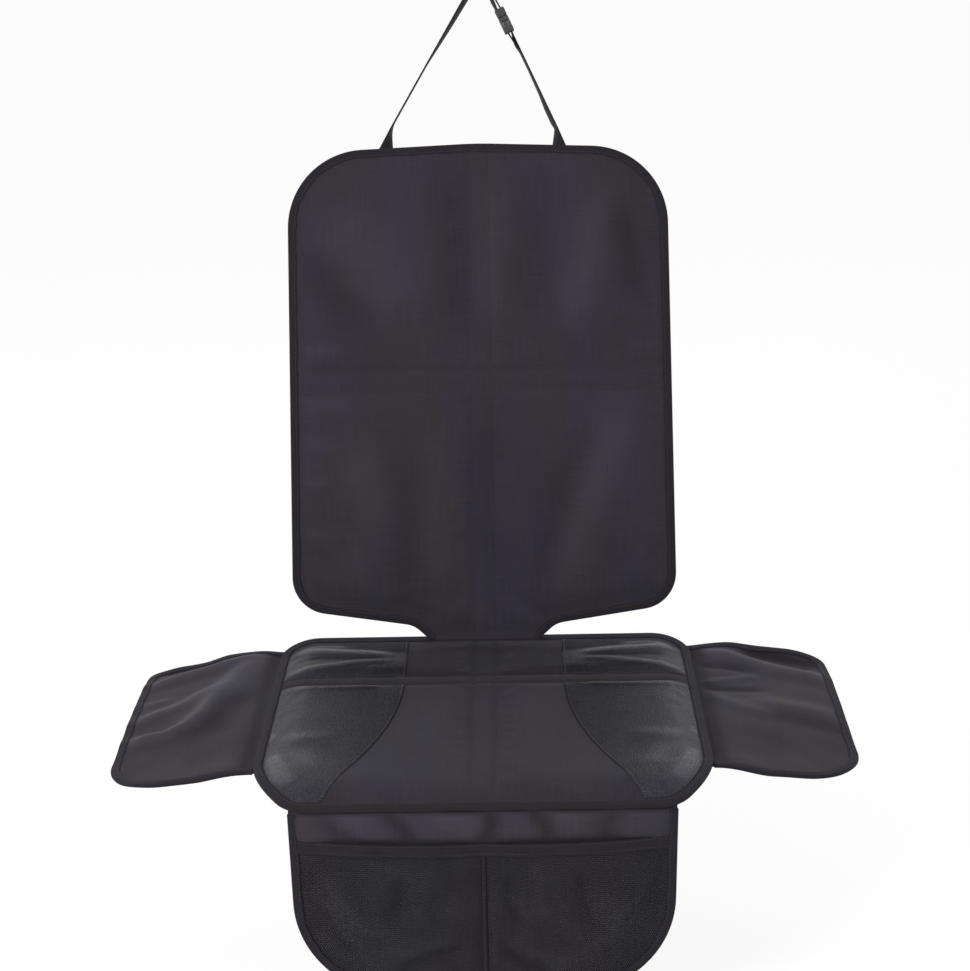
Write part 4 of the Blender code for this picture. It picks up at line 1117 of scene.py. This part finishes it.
# %% Wings
WINGS = {
    "left": (-1, 0.021, 0.004, [
        ([(0.245, 0.215), (0.267, 0.180), (0.293, 0.124), (0.305, 0.080), (0.316, 0.035)], 0.0190, 0.0075),
        ([(0.296, 0.110), (0.316, 0.031), (0.330, 0.000), (0.352, -0.018), (0.400, -0.010), (0.450, -0.004)],
         0.0120, 0.0075),
        ([(0.262, 0.120), (0.285, 0.060), (0.300, -0.010), (0.330, -0.060)], 0.022, -0.0040),
        ([(0.285, 0.125), (0.3195, 0.094), (0.3445, 0.064), (0.368, 0.046), (0.405, 0.034), (0.450, 0.028)],
         0.0115, 0.0042),
        ([(0.345, 0.092), (0.372, 0.084), (0.402, 0.080), (0.430, 0.078)], 0.0085, 0.0020),
        ([(0.225, 0.210), (0.270, 0.192), (0.3075, 0.180), (0.334, 0.170), (0.353, 0.160), (0.375, 0.148),
          (0.405, 0.142), (0.450, 0.136)], 0.0120, 0.0060),
        ([(0.300, 0.205), (0.345, 0.203), (0.400, 0.190)], 0.016, -0.0065),
        ([(0.245, -0.125), (0.300, -0.120), (0.36, -0.105)], 0.024, 0.0016),
    ]),
    "right": (1, 0.016, 0.008, [
        ([(0.225, 0.205), (0.270, 0.178), (0.300, 0.161), (0.328, 0.140), (0.357, 0.126), (0.398, 0.118),
          (0.440, 0.112)], 0.0150, 0.0064),
        ([(0.280, 0.200), (0.335, 0.184), (0.385, 0.166), (0.420, 0.160)], 0.018, -0.0060),
        ([(0.232, 0.152), (0.273, 0.145), (0.296, 0.136), (0.330, 0.130)], 0.0090, -0.0026),
        ([(0.232, 0.090), (0.262, 0.100), (0.298, 0.112), (0.320, 0.118)], 0.0070, 0.0018),
        ([(0.232, 0.084), (0.262, 0.078), (0.292, 0.076), (0.330, 0.072)], 0.0090, -0.0028),
        ([(0.232, 0.076), (0.267, 0.044), (0.291, 0.020), (0.330, -0.010)], 0.0120, 0.0022),
        ([(0.280, 0.046), (0.338, 0.030), (0.374, 0.026), (0.430, 0.030)], 0.0160, 0.0030),
        ([(0.290, -0.006), (0.330, -0.002), (0.358, -0.006), (0.420, -0.014)], 0.0160, -0.0022),
        ([(0.250, -0.125), (0.310, -0.118), (0.36, -0.100)], 0.024, 0.0014),
    ]),
}


def seat_half_at(y):
    """Half the seat's width at a place along it."""
    right = seat_path[seat_path[:, 0] > FRONT_EDGE_WIDTH / 2 - 0.002]
    order = np.argsort(right[:, 1])
    return np.interp(y, right[order, 1], right[order, 0])


WING_FRONT, WING_REAR = SEAT_FRONT + WING_FRONT_INSET, SEAT_REAR - WING_REAR_INSET
WING_START, WING_OUT = WING_TUCK + 2 * (TAPE + CLEAR), WING_TUCK + WING_REACH
wing_path = rounded([
    (WING_START, WING_FRONT, 0),
    (WING_OUT + WING_BELLY, WING_FRONT + WING_FRONT_TAPER, WING_FRONT_CORNER),
    (WING_OUT - WING_REAR_TAPER, WING_REAR, WING_REAR_CORNER),
    (WING_START, WING_REAR, 0),
])
wing_outline = np.concatenate([
    line((0, WING_REAR), (0, WING_FRONT)), line((0, WING_FRONT), wing_path[0])[1:-1],
    wing_path, line(wing_path[-1], (0, WING_REAR))[1:-1],
])


def wing_drape(points, folds, calmed=True):
    """The height of a wing's folds, whose lines are written in the seat's own x and y, calmer by the tape."""
    where = np.stack([seat_half_at(points[:, 1]) - WING_TUCK + points[:, 0], points[:, 1]], axis=1)
    calm = 0.35 + 0.65 * ease((WING_OUT - points[:, 0]) / 0.030)
    calm *= 0.45 + 0.55 * ease(np.minimum(WING_REAR - points[:, 1], points[:, 1] - WING_FRONT) / 0.024)
    return folded(where, folds) * ease((points[:, 0] - WING_TUCK) / 0.022) * (calm if calmed else 1.0)


def wing_place(side, droop, tilt, folds):
    """How this wing's cloth lies: s outward from the tucked edge, y along the seat, then a height."""

    def place(points, height):
        points = np.asarray(points, float)
        s, y = points[:, 0], points[:, 1]
        share = np.maximum(0, (s - WING_START) / WING_REACH)
        along = (y - WING_FRONT) / (WING_REAR - WING_FRONT)
        wave = WING_FOLD * np.sin((along - share * 0.45) * math.tau * 1.1) + tilt * (2 * along - 1)
        x = seat_half_at(y) - WING_TUCK + s
        drape = wing_drape(points, folds) + ripple(points, 20 + side, 0.060, 0.0006) * ease(share * 2.5)
        z = seat_level(y) - CLEAR - CLOTH / 2 - droop * share**1.6 + wave * ease(share * 2.5) + drape
        return np.stack([side * x, y, z + height], axis=1)

    return place


wing_flat = filled(wing_outline, [], 0.0038)
wing_seam = (wing_path + inward(wing_path) * TAPE_SEWN)[2:-2]
# Painted shadow of the seat's raised edge: a dark band just beyond the tuck.
painted_edge_shadow = np.exp(-(((wing_flat[0][:, 0] - WING_TUCK - 0.011) / 0.008) ** 2))
wing_rows = []
for word, (side, droop, tilt, folds) in WINGS.items():
    place = wing_place(side, droop, tilt, folds)
    # Painted light: fold ridges paler and valleys darker, the whole wing painted darker, and the painted
    # shadow of the seat's edge.
    rub_and_painted_light = np.clip(wing_drape(wing_flat[0], folds, False) / 0.0034, -1.4, 1.3) - 0.40 - 1.3 * painted_edge_shadow
    wing = slab(f"{word}_wing_cloth", wing_flat, CLOTH / 2, -CLOTH / 2, place, (OXFORD,), rub_and_painted_light, flip=side < 0)
    stands_for(wing, f"{word}_wing")
    tape = edge_tape(f"{word}_wing_tape", wing_path, place, -CLOTH / 2, CLOTH / 2, finish=SOFT_TAPE_FINISH)
    stands_for(tape, f"{word}_wing_binding")
    for way in (-1, 1):
        base = place(wing_seam, way * (CLOTH / 2 + CLEAR + TAPE))
        out = np.tile((0.0, 0.0, 1.0 * way), (len(base), 1))
        wing_rows.append((base + out * LAID, out))
sew("wing_stitches", wing_rows)
print("wings reach", round(WING_OUT - WING_TUCK, 3), "m out of the seat")

# %% [markdown]
# ## The front flap
# The flap hangs from under the seat's front edge. It is cut a little fuller than the seam that holds it, so
# it stands out above the pockets' hem in one low bulge, which short slanting creases cut up. It is one cloth
# with tape round its three free sides.

# %% Flap
flap_path = rounded([
    (-FLAP_WIDTH / 2, 0, 0),
    (-FLAP_WIDTH / 2 + FLAP_TAPER, -FLAP_HEIGHT, FLAP_CORNER),
    (FLAP_WIDTH / 2 - FLAP_TAPER, -FLAP_HEIGHT, FLAP_CORNER),
    (FLAP_WIDTH / 2, 0, 0),
])
flap_outline = np.concatenate([flap_path, line(flap_path[-1], flap_path[0])[1:-1]])
FLAP_HELD = SEAT_FRONT + FLAP_SET_BACK
FLAP_TOP = float(seat_level(np.array(FLAP_HELD - CLOTH / 2))) - CLEAR
FLAP_STACK = CLOTH / 2 + CLEAR + NET


def flap_place(points, height):
    points = np.asarray(points, float)
    height = np.broadcast_to(height, len(points))
    return np.stack([points[:, 0], FLAP_HELD - height, FLAP_TOP + points[:, 1]], axis=1)


FLAP_FULLNESS = 0.0056
FLAP_CREASES = [
    ([(-0.172, 0.006), (-0.158, -0.016), (-0.140, -0.034), (-0.120, -0.050)], 0.0110, -0.0036),
    ([(-0.104, 0.006), (-0.090, -0.012), (-0.076, -0.028), (-0.070, -0.050)], 0.0090, -0.0054),
    ([(0.002, 0.006), (0.013, -0.014), (0.006, -0.030), (-0.012, -0.050)], 0.0100, -0.0056),
    ([(0.040, 0.006), (0.062, -0.012), (0.070, -0.028), (0.058, -0.050)], 0.0085, -0.0050),
    ([(0.150, 0.006), (0.132, -0.014), (0.128, -0.032), (0.142, -0.050)], 0.0120, -0.0040),
    ([(-0.052, -0.002), (-0.026, -0.010), (-0.004, -0.022), (-0.002, -0.040)], 0.0120, 0.0036),
    ([(0.076, -0.004), (0.096, -0.010), (0.108, -0.024)], 0.0120, 0.0028),
    ([(-0.150, -0.002), (-0.126, -0.010), (-0.110, -0.020)], 0.0120, 0.0026),
]


def flap_drape(points):
    """How far the flap stands out above the pockets, between its short creases."""
    away = nearest(points, flap_path)[0]
    room = ease(-points[:, 1] / 0.007) * ease(away / 0.016) * ease((points[:, 1] + 0.041) / 0.016)
    return (FLAP_FULLNESS + folded(points, FLAP_CREASES)) * room


flap_flat = filled(flap_outline, [], 0.0042)
bulge = flap_drape(flap_flat[0])
# Painted light: the bulge above the pockets is painted paler, and the flap below it darker.
rub_and_painted_light = np.clip(bulge / 0.004 - 0.6, -1.0, 1.3)
front, behind = CLOTH / 2 + bulge, -CLOTH / 2 + bulge * 0.9
flap = slab("flap_cloth", flap_flat, front, behind, flap_place, (OXFORD,), rub_and_painted_light)
stands_for(flap, "front_flap")
flap_edge = flap_path[flap_path[:, 1] < -TAPE - 4 * CLEAR]
flap_tape = edge_tape("flap_edge_tape", flap_edge, flap_place, -CLOTH / 2, FLAP_STACK)
stands_for(flap_tape, "flap_binding")
print("flap hangs to", round(FLAP_TOP - FLAP_HEIGHT, 3), "m")

# %% [markdown]
# ## The net pockets
# A net is a knit of open cells. It could be a picture of holes on a plain sheet, but from the side a real
# net shows its depth, so every cell here is made of thread. The pocket's surface is cut into equal
# triangles, Geometry Nodes take the dual mesh of those, which is a honeycomb, and each edge of it becomes a
# thin three-sided thread. The two pockets bulge off the flap and slump into folds near the middle.

# %% Net pockets
NET_CELL, THREAD_RADIUS = 0.00250, 0.00029


def flap_half(down):
    return FLAP_WIDTH / 2 + FLAP_TAPER * down / FLAP_HEIGHT


def pocket_mouth(x):
    return -POCKET_MOUTH - POCKET_MOUTH_SAG * np.cos(math.pi * np.minimum(0.5, np.abs(x) / FLAP_WIDTH))


flap_open = np.concatenate([[(-FLAP_WIDTH / 2, FLAP_HEIGHT)], flap_path, [(FLAP_WIDTH / 2, FLAP_HEIGHT)]])
NET_FOLDS = [
    ([(0.012, -0.110), (0.009, -0.145), (0.0085, -0.185)], 0.0060, 0.0090),
    ([(0.012, -0.146), (0.024, -0.160), (0.045, -0.176), (0.080, -0.185)], 0.0075, -0.0090),
    ([(-0.010, -0.146), (-0.028, -0.160), (-0.059, -0.166), (-0.100, -0.182)], 0.0075, -0.0090),
    ([(0.030, -0.145), (0.060, -0.158), (0.110, -0.160)], 0.0090, 0.0060),
    ([(-0.020, -0.130), (-0.060, -0.146), (-0.110, -0.150)], 0.0090, 0.0060),
    ([(-0.046, -0.050), (-0.052, -0.080), (-0.075, -0.120)], 0.0085, 0.0075),
    ([(-0.090, -0.060), (-0.085, -0.090), (-0.100, -0.130)], 0.0100, -0.0090),
    ([(-0.175, -0.060), (-0.155, -0.080), (-0.128, -0.115), (-0.110, -0.140)], 0.0100, 0.0083),
    ([(-0.180, -0.100), (-0.160, -0.130), (-0.130, -0.165)], 0.0110, -0.0075),
    ([(0.065, -0.052), (0.060, -0.085), (0.070, -0.120)], 0.0090, 0.0075),
    ([(0.030, -0.060), (0.026, -0.100), (0.040, -0.140)], 0.0090, -0.0090),
    ([(0.105, -0.060), (0.100, -0.095), (0.120, -0.140)], 0.0100, -0.0075),
    ([(0.175, -0.060), (0.160, -0.095), (0.130, -0.130)], 0.0100, 0.0075),
]


def net_height(points):
    """How far the net's middle stands out of the flap: a pouch on each side of the middle seam."""
    away = nearest(points, flap_open)[0] - BAND
    room = FLAP_WIDTH / 2 - BAND - POCKET_SEAM / 2
    share = np.clip((np.abs(points[:, 0]) - POCKET_SEAM / 2) / room, 0, 1)
    across = np.sin(math.pi * share) ** 0.7
    free = across**0.5 * ease(away / 0.03)
    below = ease((pocket_mouth(points[:, 0]) - points[:, 1]) / 0.06)
    pouch = POCKET_DEPTH * across * ease(away / POCKET_SWELL) * (0.35 + 0.65 * below)
    slump = folded(points, NET_FOLDS) + ripple(points, 31, 0.040, 0.0010) * ease(below * 3)
    return FLAP_STACK - NET / 2 + np.maximum(0, pouch + slump * free)


def net_recipe():
    recipe = Recipe("net", ["Radius"])
    dual = recipe.node("GeometryNodeDualMesh", {}, {"Mesh": recipe.given["Geometry"]})
    curves = recipe.node("GeometryNodeMeshToCurve", {}, {"Mesh": dual})
    ring = {"Resolution": 3, "Radius": recipe.given["Radius"]}
    profile = recipe.node("GeometryNodeCurvePrimitiveCircle", {}, ring)
    recipe.end(recipe.node("GeometryNodeCurveToMesh", {}, {"Curve": curves, "Profile Curve": profile}))
    return recipe


NET_RECIPE = net_recipe()


def pocket_outline():
    """The right-hand pocket, from its mouth down to the seam under the flap's tape."""
    ring = flap_path + inward(flap_path) * (TAPE_SHOW - 0.003)
    ring = ring[(ring[:, 0] > POCKET_SEAM * 0.2) & (ring[:, 1] < -POCKET_MOUTH - 0.004)]
    xs = np.linspace(ring[-1, 0], POCKET_SEAM * 0.2, 60)
    mouth = np.column_stack([xs, pocket_mouth(xs)])
    return evenly(closed(np.concatenate([ring, mouth])), NET_CELL)[:-1]


def make_pocket(word, side):
    points, faces = filled(pocket_outline(), [], NET_CELL)
    points = points * (side, 1)
    placed = flap_place(points, net_height(points))
    mesh = bpy.data.meshes.new(word)
    mesh.from_pydata(placed.tolist(), [], faces.tolist())
    net = NET_RECIPE.make(f"{word}_pocket_net", mesh, Radius=THREAD_RADIUS, Finish=NET_YARN)
    stands_for(net, "pocket_net")
    area = float(sum(f.area for f in net.data.polygons))
    print(net.name, len(net.data.polygons) * 2, "triangles,", round(area, 4), "m2 of thread")
    return net


nets = {word: make_pocket(word, side) for word, side in (("left", -1), ("right", 1))}

# %% [markdown]
# ## Hem and middle seam
# The pockets' mouth is hemmed with a doubled tape that sags a little, and one upright seam down the middle
# makes two pockets of one net. Both are sewn through.

# %% Hem, seam and their stitches
def at_flap(x, down, height):
    return flap_place(np.array([[x, down]]), np.array([height]))[0]


def hem_ring(x, high, low, out, soft=0.0008):
    """The hem's section at one station: a flat tape, rounded on its long edges."""
    middle = (high + low) / 2
    ring = [(high - soft, TAPE), (high, TAPE / 2), (high - soft, 0), (middle, 0), (low + soft, 0)]
    ring += [(low, TAPE / 2), (low + soft, TAPE), (middle, TAPE + 0.0002)]
    return [at_flap(x, down, out + lift) for down, lift in ring]


def mouth_height(x, down):
    return float(net_height(np.array([[x, down]]))[0])


HEM_RUCK, SEAM_RUCK = [(0.0003, 0.013, 0), (0.0003, 0.031, 1)], [(0.0002, 0.017, 0)]
reach = flap_half(-POCKET_MOUTH) - TAPE_SHOW + 0.0006
hem_line = []
for x in np.linspace(-reach, reach, 110):
    mouth = float(pocket_mouth(x))
    out = mouth_height(x, mouth) + NET / 2 + CLEAR + float(uneven(x, HEM_RUCK)) + LAID
    hem_line.append((x, mouth + 0.0012, mouth - HEM_HEIGHT, out))
hem = swept("pocket_hem_tape", [hem_ring(*station) for station in hem_line], TAPE_FINISH)
stands_for(hem, "pocket_hem")

seam_low = -FLAP_HEIGHT + TAPE_SHOW + 0.002
seam_high = float(pocket_mouth(0)) - HEM_HEIGHT - CLEAR
seam_downs = np.linspace(seam_high, seam_low, 40)
edge, soft = POCKET_SEAM * 0.20, POCKET_SEAM * 0.20 - 0.0007
profile = [(-soft, TAPE), (-edge, TAPE / 2), (-soft, 0), (soft, 0), (edge, TAPE / 2), (soft, TAPE)]
profile += [(0, TAPE + 0.0003)]
seam_rings = []
for down in seam_downs:
    out = FLAP_STACK + CLEAR + LAID + float(uneven(down, SEAM_RUCK))
    seam_rings.append([at_flap(x, down, out + lift) for x, lift in profile])
seam = swept("pocket_middle_tape", seam_rings, SOFT_TAPE_FINISH)
stands_for(seam, "pocket_seam")

tape_top = FLAP_STACK + CLEAR + TAPE
lines = [[(x, high - inset, out + TAPE + LAID) for x, high, low, out in hem_line]
         for inset in (0.0018, HEM_HEIGHT - 0.0018)]
lines.append([(0, down, tape_top + 0.0006) for down in seam_downs])
rows = [([at_flap(*spot) for spot in spots], [(0, -1.0, 0)] * len(spots)) for spots in lines]
rows.append(tape_row(flap_edge, flap_place, tape_top + LAID))
sew("flap_stitches", rows)

# %% [markdown]

for word, net in nets.items():
    going = [hem, seam] if word == "left" else []

# %% [markdown]
# ## The headrest strap
# The strap is flat webbing, sewn behind the panel's top tape. It is pulled taut over a headrest, and turns by
# a quarter from its sewn end, so the camera sees most of it edge-on. A solid is swept along each length: the
# outer edge runs straight to the loop while the inner edge swings back.

# %% Straps
loop_apex = np.array([LOOP_ASIDE, BACK_HEIGHT + LOOP_HEIGHT])
STRAP_BACK = -CLEAR - WEBBING / 2


def strap_rise(side):
    foot = np.array([STRAP_ASIDE + side * STRAP_SPREAD / 2, BACK_HEIGHT])
    return foot, unit(loop_apex - foot)


def rising(side, goal):
    foot, way = strap_rise(side)
    close = [foot + way * t for t in np.linspace(-STRAP_SEWN, STRAP_TURN, 24)]
    shares = [t for t in np.linspace(0, 1, 40) if t * math.dist(goal, foot) > STRAP_TURN + 0.004]
    return close + [foot + (goal - foot) * t for t in shares]


def half_turn(centre, start, way):
    size = np.linalg.norm(start)
    turns = np.linspace(0, math.pi, 12)
    return [centre + start * math.cos(a) + way * size * math.sin(a) for a in turns]


half_section = [(0.0, -0.4), (0.03, -1), (0.5, -1), (0.97, -1), (1.0, -0.4)]
STRAP_SECTION = half_section + [(wide, -thick) for wide, thick in reversed(half_section)]


def strap(name, path, side, easing):
    """A webbing solid along a path. Easing is a list of (run, degrees) that the webbing turns by."""
    path = np.array(path)
    ahead = np.gradient(path, axis=0)
    ahead /= np.linalg.norm(ahead, axis=1)[:, None]
    inner = np.stack([ahead[:, 1], -ahead[:, 0]], axis=1) * -side
    run = run_of(path) - STRAP_SEWN
    first = 90 * (1 - (1 - np.clip(run / STRAP_TURN, 0, 1)) ** 2.0)
    angle = np.radians(np.minimum(first, np.interp(run, *zip(*easing))))
    c, s = np.cos(angle), np.sin(angle)
    rings = []
    for wide, thick in STRAP_SECTION:
        at = path + inner * (wide * STRAP_WIDTH * c + thick * WEBBING / 2 * s)[:, None]
        depth = -wide * STRAP_WIDTH * s + thick * WEBBING / 2 * c
        rings.append(back_place(at, STRAP_BACK + depth))
    across = [w * STRAP_WIDTH if t < 0 else (2 - w) * STRAP_WIDTH for w, t in STRAP_SECTION]
    return swept(name, np.stack(rings, axis=1), WEBBING_FINISH, run, across)


wrap = BUCKLE_BAR / 2 + CLEAR + WEBBING / 2
way = strap_rise(1)[1]
across = np.array([way[1], -way[0]])
top_bar = loop_apex - way * BUCKLE_TO_LOOP - across * wrap
low_bar = top_bar - way * (BUCKLE_LENGTH - BUCKLE_BAR)
bend = rounded([(*strap_rise(-1)[0], 0), (*loop_apex, LOOP_RADIUS), (*(top_bar - across * wrap), 0)], 0.0035)
bend = [p for p in bend if math.dist(p, strap_rise(-1)[0]) > 0.19]
left_line = rising(-1, bend[0]) + bend[1:] + half_turn(top_bar, -across * wrap, -way)[1:]
tail = top_bar - across * wrap * 0.25 + way * STRAP_TAIL
left_line += [left_line[-1] + (tail - left_line[-1]) * t for t in np.linspace(0.1, 1, 10)]
right_line = rising(1, low_bar + across * wrap) + half_turn(low_bar, across * wrap, way)[1:]
end = low_bar + across * wrap * 0.25 - way * STRAP_FOLDED
right_line += [right_line[-1] + (end - right_line[-1]) * t for t in np.linspace(0.1, 1, 8)]
LEFT_EASING = [(0.0, 90), (0.112, 90), (0.137, 84), (0.165, 78), (0.199, 73), (0.222, 84), (0.240, 76),
               (0.262, 78), (0.280, 90), (1, 90)]
RIGHT_EASING = [(0.0, 90), (0.030, 74), (0.048, 75), (0.067, 81), (0.097, 84), (0.119, 84), (0.130, 77),
                (0.146, 90), (1, 90)]
lengths = (("left", -1, left_line, LEFT_EASING), ("right", 1, right_line, RIGHT_EASING))
for word, side, path, easing in lengths:
    stands_for(strap(f"{word}_webbing", path, side, easing), f"{word}_strap")
tacks = []
for side in (-1, 1):
    foot, rise = strap_rise(side)
    inner = np.array([rise[1], -rise[0]]) * -side
    for drop in (0.0025, 0.0050):
        row = np.array([foot - rise * drop + inner * STRAP_WIDTH * t for t in np.linspace(0.08, 0.92, 12)])
        tacks.append((back_place(row, STRAP_BACK - WEBBING / 2 - LAID), np.tile(-BACK_OUT, (len(row), 1))))
sew("strap_tacks", tacks, pitch=0.0022, length=0.0018)
print("strap loop at", [round(float(x), 3) for x in back_place(loop_apex[None], STRAP_BACK)[0]])
